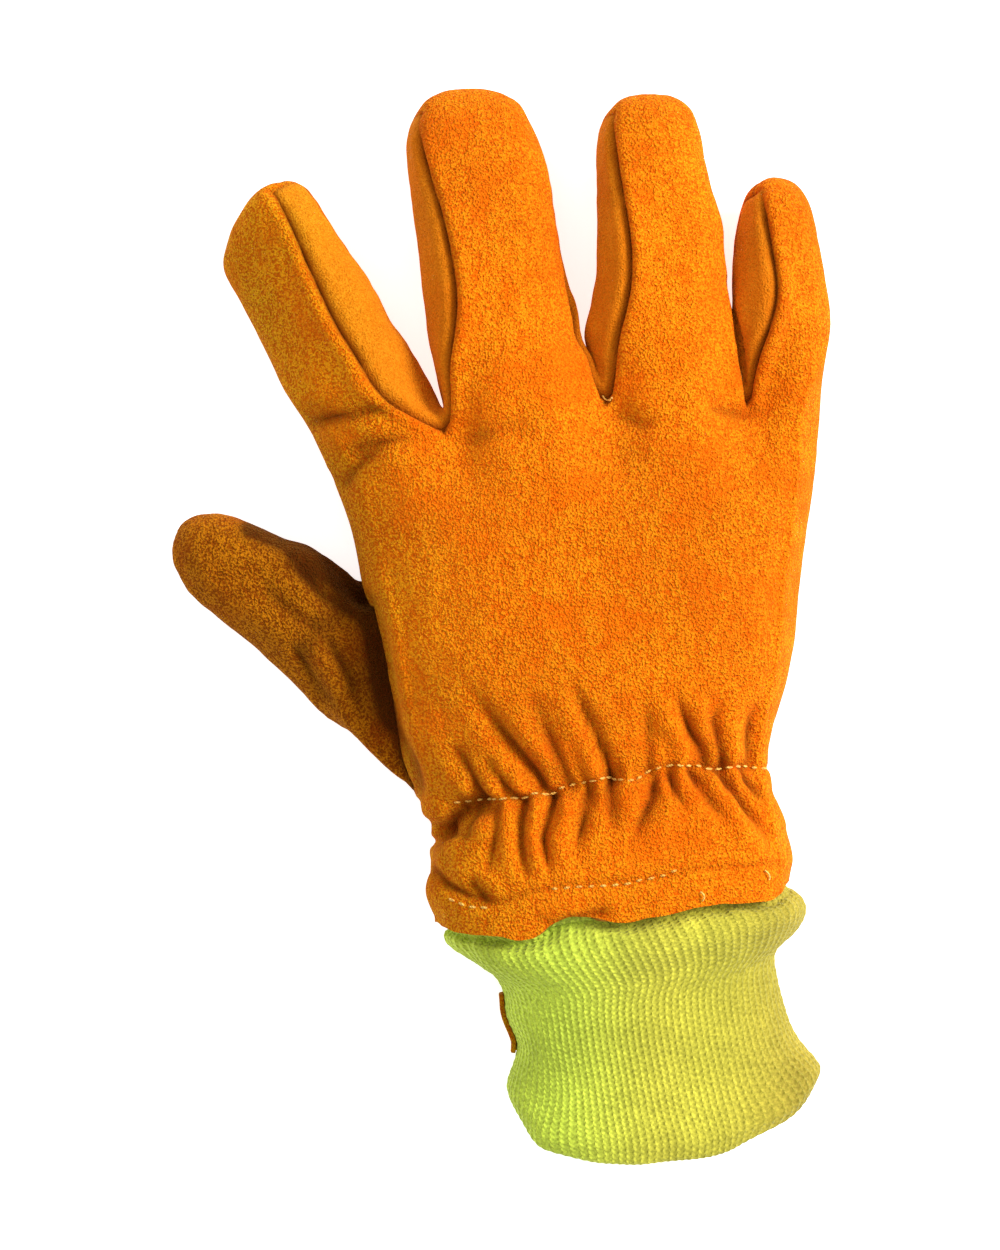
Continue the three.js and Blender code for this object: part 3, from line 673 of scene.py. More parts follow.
# Seams: a narrow crease with a roll of leather on each side and puckers across it. Their valleys and the
# puckers' dips get painted shade, and the dark line along each seam is partly its own colour and partly
# painted shade.
seams = {
    "depth": 1.5,
    "stripDepth": 1.9,  # where a strip between the fingers joins the back
    "width": 1.0,
    "lineWidth": 0.7,  # of the dark line in the crease
    "roll": 0.45,
    "rollAt": 3.2,
    "rollWidth": 1.7,
    "pucker": 0.4,
    "puckerSize": 4.5,
    "puckerReach": 5.0,
    "shallower": 0.75,  # the share of its depth that a seam loses on the outline
    "valleyShade": 0.25,
    "lineDark": 0.95,
    "puckerShade": 0.2,
}
normals = normalsOf(skinPoints, skinFaces)
lowestPanel = np.full(len(skinPoints), 99)
highestPanel = np.full(len(skinPoints), -1)
for k in range(4):
    np.minimum.at(lowestPanel, skinFaces[:, k], facePanels)
    np.maximum.at(highestPanel, skinFaces[:, k], facePanels)
onSeam = np.flatnonzero(lowestPanel != highestPanel)
seamTree = KDTree(len(onSeam))
for k, index in enumerate(onSeam):
    seamTree.insert(skinPoints[index], k)
seamTree.balance()
found = [seamTree.find(p) for p in skinPoints]
seamDistance = np.array([f[2] for f in found])
nearest = np.array([f[1] for f in found])
isStrip = (lowestPanel[onSeam] == 0) & (highestPanel[onSeam] >= 4)
depthThere = np.where(isStrip, seams["stripDepth"], seams["depth"])[nearest]
puckerThere = noiseAt(skinPoints[onSeam], seams["puckerSize"], 1)[nearest]
valley = np.exp(-(seamDistance / seams["width"]) ** 2)
ridge = np.exp(-((seamDistance - seams["rollAt"]) / seams["rollWidth"]) ** 2)
pucker = puckerThere * np.exp(-(seamDistance / seams["puckerReach"]) ** 2)
upright = 1 - seams["shallower"] * (1 - smooth(np.abs(normals[:, 2]), 0.05, 0.45))
lift = upright * (-depthThere * valley * (1 + 0.5 * puckerThere) + seams["roll"] * ridge)
lift += seams["pucker"] * pucker
seamLine = np.exp(-(seamDistance / seams["lineWidth"]) ** 2)
shadeAndSeamLine = (seams["valleyShade"] * valley + seams["lineDark"] * seamLine) * (0.85 + 0.5 * puckerThere)
shadeAndSeamLine += seams["puckerShade"] * np.maximum(-pucker, 0)

# Folds that the photograph shows, as lines of its pixels with a depth and a width in millimetres. The
# steep side is the one on the right of the line, looked at along it.
folds = [
    (2.6, 2.4, [(552, 796), (535, 772), (515, 748), (497, 726), (480, 705), (468, 688)]),
    (2.1, 2.0, [(612, 779), (606, 757), (597, 735), (587, 715), (578, 697), (572, 680)]),
    (1.6, 2.2, [(486, 801), (474, 778), (462, 758), (450, 742)]),
    (1.3, 2.6, [(575, 789), (560, 760), (548, 735), (538, 712), (530, 690)]),
    (1.1, 2.6, [(648, 771), (650, 745), (648, 720), (645, 695)]),
    (1.8, 2.0, [(705, 767), (700, 748), (690, 730), (682, 710), (676, 690)]),
    (1.5, 2.2, [(722, 766), (718, 742), (714, 722), (722, 700)]),
    (1.3, 2.4, [(746, 765), (749, 742), (752, 722), (760, 700)]),
    (1.2, 2.0, [(524, 800), (507, 786), (494, 770), (482, 752)]),
    (1.4, 3.2, [(420, 790), (412, 762), (396, 732), (384, 700)]),
    (2.1, 1.8, [(527, 800), (522, 822), (521, 842), (524, 866), (530, 884)]),
    (2.4, 1.8, [(556, 796), (549, 818), (543, 836), (546, 858), (551, 880)]),
    (1.3, 2.2, [(500, 804), (496, 830), (491, 852), (488, 875)]),
    (1.1, 2.2, [(480, 807), (470, 830), (462, 852)]),
    (2.0, 2.4, [(588, 790), (584, 815), (579, 838), (577, 858)]),
    (1.3, 3.2, [(610, 786), (612, 812), (618, 838)]),
    (2.0, 2.6, [(655, 776), (652, 798), (642, 820), (632, 845)]),
    (1.6, 2.0, [(668, 774), (676, 794), (690, 812)]),
    (2.3, 2.2, [(688, 772), (702, 790), (716, 808), (730, 824)]),
    (2.6, 2.4, [(714, 770), (732, 790), (748, 808), (764, 828), (772, 848)]),
    (1.7, 2.0, [(738, 768), (752, 788), (766, 806)]),
    (3.4, 3.0, [(478, 803), (460, 815), (446, 829), (432, 847)]),
    (1.7, 2.0, [(432, 868), (446, 884), (468, 896), (500, 902)]),
    (1.4, 1.6, [(472, 884), (482, 894), (488, 906)]),
    (1.3, 1.6, [(602, 911), (578, 917), (552, 922), (532, 917)]),
    (1.6, 3.0, [(314, 422), (340, 417), (372, 411), (400, 408)]),
    (1.4, 2.4, [(352, 452), (368, 444), (394, 438), (420, 440)]),
    (1.4, 2.6, [(346, 482), (354, 470), (368, 456), (390, 442)]),
    (0.9, 3.0, [(620, 415), (640, 425), (662, 420)]),
    (1.0, 3.2, [(715, 408), (742, 416), (772, 410)]),
    (0.9, 4.0, [(470, 440), (500, 428), (540, 424)]),
    (1.6, 2.6, [(366, 600), (374, 640), (384, 690), (398, 730)]),
    (1.3, 3.0, [(300, 570), (322, 596), (350, 610)]),
    (1.2, 3.0, [(268, 590), (296, 616), (330, 632)]),
    (1.3, 3.2, [(330, 640), (350, 676), (362, 712)]),
    (1.1, 2.6, [(296, 650), (320, 690), (345, 716)]),
]
foldShape = {
    "steepSide": 0.8,  # shares of the fold's width
    "slackSide": 1.35,
    "bank": 0.45,  # shares of its depth
    "sharp": 0.5,
    "broad": 0.6,
    "sharpShade": 0.7,
    "broadShade": 0.17,
    "shadeDepth": 1.6,  # a fold of this depth or more is fully dark
}
seen = seenAt(pulled(skinPoints))
facingUp = smooth(normals[:, 2], -0.05, 0.35)
wander = noiseAt(skinPoints, 9.0, 3)
for depth, width, line in folds:
    distance, side, place = fromLine(seen, line)
    near = np.flatnonzero(distance < 5 * width)
    d = distance[near] + 0.5 * wander[near]
    fade = smooth(place[near], -0.3, 0.12) * (1 - smooth(place[near], 0.5, 1.05)) ** 0.7
    fade = fade * facingUp[near] * (1 + 0.5 * wander[near])
    steep = np.where(side[near] > 0, foldShape["steepSide"], foldShape["slackSide"]) * width
    sharp = np.exp(-(d / max(0.5 * width, 1)) ** 2)
    broad = np.exp(-(d / steep) ** 2)
    bank = np.exp(-((d - 2.2 * width) / (1.4 * width)) ** 2)
    profile = foldShape["bank"] * bank - foldShape["sharp"] * sharp - foldShape["broad"] * broad
    lift[near] += fade * depth * profile
    # Painted shade in each fold's valley, fuller for deeper folds.
    dark = foldShape["sharpShade"] * sharp + foldShape["broadShade"] * broad
    shadeAndSeamLine[near] += fade * dark * min(1, depth / foldShape["shadeDepth"])

# Painted shadow: the thumb goes under the hand, and its leather is painted darkest there and along its upper
# edge, where the hand's shadow falls.
shades = [  # share, width, line of pixels
    (1.6, 2.6, [(250, 530), (300, 548), (335, 566), (368, 590)]),
    (1.2, 5.0, [(300, 556), (335, 576), (366, 600)]),
    (1.3, 4.5, [(368, 588), (378, 630), (386, 680), (394, 715)]),
    (0.5, 3.0, [(308, 646), (322, 624), (344, 610), (366, 604)]),
    (0.35, 6.0, [(376, 600), (372, 650), (376, 700)]),
]
underHand = (lowestPanel == 2) | (lowestPanel == 3) | (highestPanel == 2) | (highestPanel == 3)
underHand |= (skinPoints[:, 2] < 20) & (seen[:, 0] < 420) & (seen[:, 1] > 560) & (seen[:, 1] < 760)
for share, width, line in shades:
    distance, side, place = fromLine(seen, line)
    shadeAndSeamLine += underHand * share * np.exp(-(distance / width) ** 2) * (1 + 0.3 * wander)

# The elastic gathers the leather along one line; below it a second row of stitches runs near the hem.
gather = {
    "line": [
        (424, 862), (440, 838), (457, 802), (485, 799), (525, 798), (540, 791), (548, 797), (562, 787),
        (595, 780), (607, 777), (617, 780), (635, 781), (650, 770), (670, 765), (700, 766), (712, 770),
        (740, 766), (764, 769), (790, 774),
    ],
    "hemRow": [
        (470, 906), (500, 903), (530, 892), (560, 886), (600, 884), (640, 880), (700, 869), (745, 866),
        (780, 862),
    ],
    "lineLength": 400,  # roughly, in pixels
    "depth": 0.65,
    "width": 1.1,
    "ripple": 0.7,
    "ripplePitch": 7.6,
    "rippleReach": 9.0,
    "hemDepth": 0.8,
    "hemWidth": 1.0,
    "grooveShade": 0.15,
    "rippleShade": 0.22,
    "hemShade": 0.3,
}
distance, side, place = fromLine(seen, gather["line"])
phase = place * (gather["lineLength"] * photo["scale"]) / gather["ripplePitch"] * 2 * math.pi + 2.6 * wander
ripple = np.cos(phase) * np.exp(-(distance / gather["rippleReach"]) ** 2)
groove = np.exp(-(distance / gather["width"]) ** 2)
lift += facingUp * (gather["ripple"] * ripple - gather["depth"] * groove)
# Painted shade in the groove and in the ripples' valleys.
shadeAndSeamLine += facingUp * (gather["grooveShade"] * groove + gather["rippleShade"] * np.maximum(-ripple, 0))
distance, side, place = fromLine(seen, gather["hemRow"])
groove = np.exp(-(distance / gather["hemWidth"]) ** 2) * facingUp
lift -= gather["hemDepth"] * groove
# Painted shade in the hem row's groove.
shadeAndSeamLine += gather["hemShade"] * groove

# On the palm's side the same gathers run straight up from the elastic.
palmPleats = {
    "pitch": 8.2,
    "handReach": 16,
    "skirtReach": 22,
    "depth": 1.1,
    "sink": 0.6,
    "grooveWidth": 1.4,
    "dark": 0.3,
}
backLine = np.array([handSurface(angle, 0)[0] for angle in np.linspace(math.pi, 0, 60)]) + handShift
elasticY = np.interp(skinPoints[:, 0], backLine[:, 0], backLine[:, 1])
fromElastic = skinPoints[:, 1] - elasticY
below = 1 - facingUp
pleats = np.cos(skinPoints[:, 0] / palmPleats["pitch"] * 2 * math.pi + 2 * wander)
pleatReach = np.where(fromElastic > 0, palmPleats["handReach"], palmPleats["skirtReach"])
reach = np.exp(-(fromElastic / pleatReach) ** 2)
lift += below * reach * (palmPleats["depth"] * pleats - palmPleats["sink"])
lift -= below * palmPleats["depth"] * np.exp(-(fromElastic / palmPleats["grooveWidth"]) ** 2)
# Painted shade in the pleats' valleys.
shadeAndSeamLine += below * reach * palmPleats["dark"] * np.maximum(-pleats, 0)

# The strips end flat at the fingertips: the pixel, and how far round it.
stripEnds = [(414, 120, 18), (602, 118, 18), (290, 188, 20), (768, 188, 16), (532, 130, 12)]
for x, y, reach in stripEnds:
    share = np.exp(-((seen[:, 0] - x) ** 2 + (seen[:, 1] - y) ** 2) / reach ** 2)
    lift *= 1 - 0.9 * share
    shadeAndSeamLine *= 1 - 0.6 * share

# Broad dents of worn leather, and its small lumps, each by its height, size and seed.
lift += 0.75 * noiseAt(skinPoints, 26.0, 5) + 0.3 * noiseAt(skinPoints, 9.5, 7)
lift += 0.1 * noiseAt(skinPoints, 3.2, 9)
skinPoints = skinPoints + normals * lift[:, None]

# The hem is cut by hand and curls: it waves along its length and turns out a little.
hemWave = {"reach": 7.0, "wave": 1.2, "curl": 0.7, "band": 12}
edgeCount = {}
for face in skinFaces:
    for k in range(4):
        edge = (min(face[k], face[k - 1]), max(face[k], face[k - 1]))
        edgeCount[edge] = edgeCount.get(edge, 0) + 1
rimPoints = sorted({k for edge, count in edgeCount.items() if count == 1 for k in edge})
rimTree = KDTree(len(rimPoints))
for k, index in enumerate(rimPoints):
    rimTree.insert(skinPoints[index], k)
rimTree.balance()
nearHem = np.flatnonzero(skinPoints[:, 1] < skinPoints[rimPoints, 1].max() + hemWave["band"])
rimWave = noiseAt(skinPoints[rimPoints], 15.0, 11) + 0.4 * noiseAt(skinPoints[rimPoints], 5.0, 12)
for index in nearHem:
    point, k, away = rimTree.find(skinPoints[index])
    share = math.exp(-(away / hemWave["reach"]) ** 2)
    skinPoints[index, 1] += hemWave["wave"] * rimWave[k] * share
    skinPoints[index] += normals[index] * hemWave["curl"] * share * (0.6 + rimWave[k])
skinPoints = pulled(skinPoints)
skinPoints[:, 2] = np.maximum(skinPoints[:, 2], 0)
shadeAndSeamLine = np.clip(shadeAndSeamLine, 0, 1)
print("skin sculpted:", len(folds), "folds,", len(onSeam), "seam points,", len(rimPoints), "hem points")

# Painted shade: the leather is coloured darker and yellower towards the thumb's side, away from the light.
amberSide = {"slope": 0.25, "row": 400, "full": 270, "gone": 450}  # in pixels, but for the slope
seen = seenAt(skinPoints)
amberPlace = seen[:, 0] - amberSide["slope"] * (seen[:, 1] - amberSide["row"])
amberShade = 1 - smooth(amberPlace, amberSide["full"], amberSide["gone"])
amberShade *= 0.85 + 0.4 * noiseAt(skinPoints, 18.0, 31)
amberShade = np.clip(amberShade, 0, 1)

skinSurface = BVHTree.FromPolygons([tuple(p) for p in skinPoints], skinFaces.tolist())

# The skin is cut into its panels, each with its own wall on the inside.
walls = {"leather": 2.0, "strip": 1.4}


def markOpenEdges(mesh):
    edges = np.zeros(len(mesh.loops), int)
    mesh.loops.foreach_get("edge_index", edges)
    isOpen = np.bincount(edges, minlength=len(mesh.edges)) == 1
    mesh.attributes.new("sharp_edge", "BOOLEAN", "EDGE").data.foreach_set("value", isOpen)


def pointValues(mesh, name, values):
    mesh.attributes.new(name, "FLOAT", "POINT").data.foreach_set("value", values)


def cutPanel(number):
    own = skinFaces[facePanels == number]
    used, local = np.unique(own, return_inverse=True)
    faces = local.reshape(own.shape).tolist()
    made = meshObject(panelNames[number] + "_skin", skinPoints[used] * mm, faces)
    pointValues(made.data, "shadeAndSeamLine", shadeAndSeamLine[used])
    pointValues(made.data, "amberShade", amberShade[used])
    markOpenEdges(made.data)
    wall = made.modifiers.new("wall", "SOLIDIFY")
    wall.thickness = (walls["strip"] if number >= 4 else walls["leather"]) * mm
    wall.offset = -1
    wall.material_offset = 1
    wall.material_offset_rim = 1
    return made


panels = {name: cutPanel(number) for number, name in enumerate(panelNames)}
print("panels cut:", {name: len(made.data.polygons) for name, made in panels.items()})


# The cuff's columns stand evenly along its girth, so that its ribs are equally wide.
def evenAngles(count, down):
    dense = np.linspace(0, 2 * math.pi, 4001)
    girth = cuffRow(dense, np.zeros(len(dense)), down, 0)[:, [0, 2]]
    length = np.concatenate([[0], np.cumsum(np.linalg.norm(np.diff(girth, axis=0), axis=1))])
    return np.interp(np.linspace(0, length[-1], count, endpoint=False), length, dense)


def tuckedRow(angles, place, inward):
    points = []
    for angle in angles:
        point, out = handSurface(angle, -place)
        points.append((point.x - inward * out.x, point.y, max(inward, point.z - inward * out.y)))
    return np.array(points)


cuffCount = cuff["ribs"] * cuff["columnsPerRib"]
cuffAngles = evenAngles(cuffCount, 0.8)
cuffHems = np.array([handSurface(angle, -1)[0].y for angle in cuffAngles])
cuffRows = [tuckedRow(cuffAngles, place, inward) for place, inward in cuff["tuckedRows"]]
tuckIn, tuckEnd = cuff["tuck"]
for k in range(cuff["rows"]):
    down = lerp(*cuff["outside"], k / (cuff["rows"] - 1))
    cuffRows.append(cuffRow(cuffAngles, cuffHems, down, tuckIn * (1 - float(smooth(down, 0, tuckEnd)))))
innerEnd = cuffRow(cuffAngles, cuffHems, cuff["outside"][1], cuff["wall"])
endMiddle = (cuffRows[-1] + innerEnd) / 2
endHalf = (cuffRows[-1] - innerEnd) / 2
for k in range(1, cuff["endRows"] + 1):
    turn = math.pi * k / (cuff["endRows"] + 1)
    bulged = np.array([0, cuff["endBulge"], 0]) * math.sin(turn)
    cuffRows.append(endMiddle + endHalf * math.cos(turn) - bulged)
cuffRows.append(innerEnd)
for down in cuff["innerRows"]:
    cuffRows.append(cuffRow(cuffAngles, cuffHems, down, cuff["wall"]))
for place, inward in reversed(cuff["tuckedRows"]):
    cuffRows.append(tuckedRow(cuffAngles, place, inward + cuff["tuckedWall"]))
cuffPoints = np.concatenate(cuffRows)
rowCount = len(cuffRows)
step = np.linalg.norm(np.diff(np.array(cuffRows), axis=0), axis=2).mean(axis=1)
courses = np.concatenate([[0], np.cumsum(step)]) / cuff["course"]
cuffFaces = []
cuffMap = []
for i in range(rowCount):
    for k in range(cuffCount):
        below = (i + 1) % rowCount
        beside = (k + 1) % cuffCount
        cuffFaces.append((i * cuffCount + k, below * cuffCount + k, below * cuffCount + beside,
                          i * cuffCount + beside))
        left = k / cuff["columnsPerRib"]
        right = (k + 1) / cuff["columnsPerRib"]
        low = courses[i + 1] if i + 1 < rowCount else courses[i] + 1
        cuffMap += [left, courses[i], left, low, right, low, right, courses[i]]

# The knit is soft: broad dents all over, and small gathers where the leather's hem draws it in.
cuffPoints = cuffPoints + np.array([handShift[0], handShift[1], 0])
cuffNormals = normalsOf(cuffPoints, np.array(cuffFaces))
rowOf = np.repeat(np.arange(rowCount), cuffCount)
firstOutside = len(cuff["tuckedRows"])
isOutside = (rowOf >= firstOutside) & (rowOf < firstOutside + cuff["rows"] + cuff["endRows"])
dents = 0.7 * noiseAt(cuffPoints, 22.0, 21) + 0.35 * noiseAt(cuffPoints, 9.0, 22)
underHem = np.exp(-((rowOf - 6) / 9.0) ** 2)
around = np.tile(np.arange(cuffCount), rowCount) / cuffCount
gathers = np.cos(around * 2 * math.pi * cuff["gathers"] + 3 * dents)
cuffPoints += cuffNormals * ((dents + cuff["gatherDepth"] * underHem * gathers) * isOutside)[:, None]
cuffPoints[isOutside] = pulled(cuffPoints[isOutside])
cuffPoints[:, 2] = np.maximum(cuffPoints[:, 2], 0)
cuffSource = meshObject("knitTube", cuffPoints * mm, cuffFaces)
cuffSource.data.uv_layers.new(name="knitMap").data.foreach_set("uv", cuffMap)
pointValues(cuffSource.data, "ribTurn", np.tile(np.arange(cuffCount) / cuff["columnsPerRib"], rowCount))
pointValues(cuffSource.data, "courseTurn", np.repeat(courses, cuffCount))
print("cuff:", rowCount, "rows of", cuffCount, "points, rib pitch",
      round(float(np.linalg.norm(cuffRows[60][1] - cuffRows[60][0])) * cuff["columnsPerRib"], 2), "mm")


# Nodes: settings are attributes of the node, and inputs are values or the sockets that feed them.
def addNode(tree, kind, settings=None, inputs=None):
    made = tree.nodes.new(kind)
    made.location = (210 * (len(tree.nodes) % 9), -260 * (len(tree.nodes) // 9))
    for name, value in (settings or {}).items():
        setattr(made, name, value)
    for name, value in (inputs or {}).items():
        if isinstance(value, bpy.types.NodeSocket):
            tree.links.new(value, made.inputs[name])
        else:
            made.inputs[name].default_value = value
    return made


def mathNode(tree, operation, *values):
    made = addNode(tree, "ShaderNodeMath", {"operation": operation}, dict(enumerate(values)))
    return made.outputs[0]


def mixColour(tree, share, a, b, blend="MIX"):
    made = addNode(tree, "ShaderNodeMix", {"data_type": "RGBA", "blend_type": blend, "clamp_factor": True})
    for socket, value in zip((made.inputs[0], made.inputs[6], made.inputs[7]), (share, a, b)):
        if isinstance(value, bpy.types.NodeSocket):
            tree.links.new(value, socket)
        else:
            socket.default_value = value
    return made.outputs[2]


def rangeNode(tree, value, low, high, toLow=0.0, toHigh=1.0):
    made = addNode(tree, "ShaderNodeMapRange", {"interpolation_type": "SMOOTHSTEP"}, {
        "Value": value, "From Min": low, "From Max": high, "To Min": toLow, "To Max": toHigh})
    return made.outputs["Result"]


def times(tree, a, b):
    return mathNode(tree, "MULTIPLY", a, b)


def plus(tree, a, b):
    return mathNode(tree, "ADD", a, b)


def minus(tree, a, b):
    return mathNode(tree, "SUBTRACT", a, b)


def vectorNode(tree, operation, inputs):
    return addNode(tree, "ShaderNodeVectorMath", {"operation": operation}, inputs).outputs[0]


def attributeNode(tree, name):
    return addNode(tree, "ShaderNodeAttribute", {"attribute_name": name}).outputs["Fac"]


def noiseNode(tree, coords, scale, detail, roughness=0.5, distortion=0.0, output="Fac"):
    made = addNode(tree, "ShaderNodeTexNoise", None, {
        "Vector": coords, "Scale": scale, "Detail": detail, "Roughness": roughness, "Distortion": distortion})
    return made.outputs[output]


def newTree(name, kind, inputs, outputs):
    tree = bpy.data.node_groups.new(name, kind)
    sockets = {}
    for socketName, socketKind, default in inputs:
        made = tree.interface.new_socket(socketName, in_out="INPUT", socket_type=socketKind)
        sockets[socketName] = made
        if default is not None:
            made.default_value = default
    for socketName, socketKind in outputs:
        tree.interface.new_socket(socketName, in_out="OUTPUT", socket_type=socketKind)
    start = tree.nodes.new("NodeGroupInput")
    end = tree.nodes.new("NodeGroupOutput")
    end.location = (2100, 0)
    return tree, start, end, sockets


# A tree of shapes ends in real geometry with its material on it.
def closeTree(tree, end, geometry, material):
    whole = addNode(tree, "GeometryNodeRealizeInstances", None, {"Geometry": geometry}).outputs[0]
    painted = addNode(tree, "GeometryNodeSetMaterial", None, {
        "Geometry": whole, "Material": material}).outputs[0]
    tree.links.new(painted, end.inputs["Geometry"])


# Gives an object a node tree, sets its inputs, and keeps the result as a plain mesh.
def grown(made, tree, sockets, values, name):
    modifier = made.modifiers.new(tree.name, "NODES")
    modifier.node_group = tree
    for socketName, value in values.items():
        modifier[sockets[socketName].identifier] = value
    result = evaluatedMesh(made)
    result.name = name
    bpy.data.objects.remove(made)
    plain = bpy.data.objects.new(name, result)
    bpy.context.scene.collection.objects.link(plain)
    return plain


# Suede: cut ends of fibres in fine grains, clumps of nap and broad mottling, with dark red painted shade in
# creases, folds and under the hand, and darker, yellower painted shade towards the thumb's side.
suedeGrain = {
    "grain": 1500.0,  # scales of the patterns, finest first
    "nap": 520.0,
    "clumps": 260.0,
    "warp": 160.0,
    "mottle": 62.0,
    "broad": 19.0,
    "warpReach": 0.0012,
    "napTurn": 0.5,
    "napStretch": 0.32,
    "speckle": (0.36, 0.64),
    "clumpShare": 0.3,
    "patches": (0.46, 0.66),
    "patchShare": 0.5,
    "amberContrast": 0.7,  # how much rougher the grain looks on the thumb's side
    "shadeShare": 0.95,
    "relief": 0.0016,
}


def suedeGroup():
    tree, start, end, sockets = newTree("suedeNap", "ShaderNodeTree", [
        ("Dark grain", "NodeSocketColor", (0.66, 0.094, 0.0005, 1)),
        ("Light grain", "NodeSocketColor", (0.92, 0.266, 0.004, 1)),
        ("Shade and seam colour", "NodeSocketColor", (0.13, 0.013, 0.0005, 1)),
        ("Mottle colour", "NodeSocketColor", (0.8, 0.11, 0.0005, 1)),
        ("Amber shade colour", "NodeSocketColor", (0.79, 1.22, 1.1, 1)),
        ("Grain size", "NodeSocketFloat", 1.0),
        ("Grain contrast", "NodeSocketFloat", 1.0),
        ("Nap height", "NodeSocketFloat", 1.0),
    ], [("Color", "NodeSocketColor"), ("Roughness", "NodeSocketFloat"), ("Normal", "NodeSocketVector")])
    given = start.outputs
    coords = addNode(tree, "ShaderNodeTexCoord").outputs["Object"]
    sized = vectorNode(tree, "SCALE", {0: coords, "Scale": given["Grain size"]})
    warp = noiseNode(tree, sized, suedeGrain["warp"], 2.0, output="Color")
    bent = vectorNode(tree, "MULTIPLY_ADD", {0: warp, 1: (suedeGrain["warpReach"],) * 3, 2: sized})
    grain = noiseNode(tree, bent, suedeGrain["grain"], 1.0)
    fibres = addNode(tree, "ShaderNodeTexVoronoi", {"feature": "F1"}, {
        "Vector": bent, "Scale": suedeGrain["grain"], "Randomness": 1.0}).outputs["Distance"]
    streaked = addNode(tree, "ShaderNodeMapping", None, {
        "Vector": bent, "Rotation": (0.0, 0.0, suedeGrain["napTurn"]),
        "Scale": (1.0, suedeGrain["napStretch"], 1.0)}).outputs[0]
    nap = noiseNode(tree, streaked, suedeGrain["nap"], 3.0, 0.6)
    clumps = noiseNode(tree, coords, suedeGrain["clumps"], 3.0, 0.55)
    mottle = noiseNode(tree, coords, suedeGrain["mottle"], 3.0, distortion=0.6)
    broad = noiseNode(tree, coords, suedeGrain["broad"], 2.0)
    height = plus(tree, times(tree, grain, 0.7), times(tree, nap, 0.3))
    speckle = rangeNode(tree, height, *suedeGrain["speckle"])
    amberShadeHere = attributeNode(tree, "amberShade")
    rougher = mathNode(tree, "MULTIPLY_ADD", amberShadeHere, suedeGrain["amberContrast"], 1.0)
    contrasted = times(tree, times(tree, minus(tree, speckle, 0.5), given["Grain contrast"]), rougher)
    clumped = times(tree, minus(tree, clumps, 0.5), suedeGrain["clumpShare"])
    share = plus(tree, plus(tree, contrasted, 0.5), clumped)
    colour = mixColour(tree, share, given["Dark grain"], given["Light grain"])
    patches = times(tree, rangeNode(tree, mottle, *suedeGrain["patches"]), suedeGrain["patchShare"])
    colour = mixColour(tree, patches, colour, given["Mottle colour"])
    worn = rangeNode(tree, broad, 0.35, 0.7, 0.9, 1.08)
    colour = mixColour(tree, 1.0, colour, worn, "MULTIPLY")
    # Painted shade, darker and yellower, towards the thumb's side.
    colour = mixColour(tree, amberShadeHere, colour, given["Amber shade colour"], "MULTIPLY")
    # Painted shade in creases, folds and under the hand, with the seams' dark lines, broken up by the grain.
    shadeMix = times(tree, attributeNode(tree, "shadeAndSeamLine"), rangeNode(tree, grain, 0.3, 0.7, 0.78, 1.0))
    shadeMix = times(tree, shadeMix, suedeGrain["shadeShare"])
    colour = mixColour(tree, shadeMix, colour, given["Shade and seam colour"])
    tree.links.new(colour, end.inputs["Color"])
    tree.links.new(rangeNode(tree, height, 0.3, 0.7, 0.98, 0.84), end.inputs["Roughness"])
    fine = plus(tree, height, times(tree, fibres, 0.35))
    fine = plus(tree, fine, times(tree, clumps, 0.6))
    relief = times(tree, given["Nap height"], suedeGrain["relief"])
    bump = addNode(tree, "ShaderNodeBump", None, {"Strength": 0.9, "Distance": relief, "Height": fine})
    tree.links.new(bump.outputs[0], end.inputs["Normal"])
    return tree


suedeNap = suedeGroup()


def newMaterial(name):
    made = bpy.data.materials.new(name)
    made.use_nodes = True
    shader = made.node_tree.nodes["Principled BSDF"]
    shader.location = (600, 0)
    made.node_tree.nodes["Material Output"].location = (900, 0)
    return made, made.node_tree, shader


def setSheen(shader, specular, weight, roughness, tint):
    shader.inputs["Specular IOR Level"].default_value = specular
    shader.inputs["Sheen Weight"].default_value = weight
    shader.inputs["Sheen Roughness"].default_value = roughness
    shader.inputs["Sheen Tint"].default_value = tint


def suedeMaterial(name, values, sheen=0.18):
    made, tree, shader = newMaterial(name)
    group = addNode(tree, "ShaderNodeGroup", {"node_tree": suedeNap}, values)
    group.location = (200, 0)
    for output, socket in (("Color", "Base Color"), ("Roughness", "Roughness"), ("Normal", "Normal")):
        tree.links.new(group.outputs[output], shader.inputs[socket])
    setSheen(shader, 0.04, sheen, 0.55, (1.0, 0.45, 0.05, 1))
    return made


leathers = {
    "back": {},
    "strip": {
        "Dark grain": (0.56, 0.13, 0.002, 1), "Light grain": (0.8, 0.24, 0.008, 1), "Grain size": 1.15,
        "Mottle colour": (0.66, 0.15, 0.003, 1), "Grain contrast": 0.6, "Nap height": 0.55,
    },
    # The thumb's darker colours are mostly painted shade, as it lies low beside the hand in the hand's
    # shadow, and partly a darker piece of leather; its near-black shade colour is for the painted shadow
    # under the hand.
    "thumb": {
        "Dark grain": (0.28, 0.055, 0.0005, 1), "Light grain": (0.6, 0.19, 0.003, 1),
        "Mottle colour": (0.36, 0.05, 0.0005, 1), "Shade and seam colour": (0.035, 0.004, 0.0005, 1),
        "Amber shade colour": (0.86, 0.9, 1.0, 1),
    },
    "flesh": {
        "Dark grain": (0.42, 0.13, 0.015, 1), "Light grain": (0.62, 0.26, 0.05, 1), "Grain size": 0.7,
        "Mottle colour": (0.5, 0.16, 0.02, 1), "Grain contrast": 0.7, "Nap height": 1.2,
    },
}
backSuede = suedeMaterial("splitSuede", leathers["back"])
stripSuede = suedeMaterial("fineSuede", leathers["strip"])
thumbSuede = suedeMaterial("thumbSuede", leathers["thumb"])
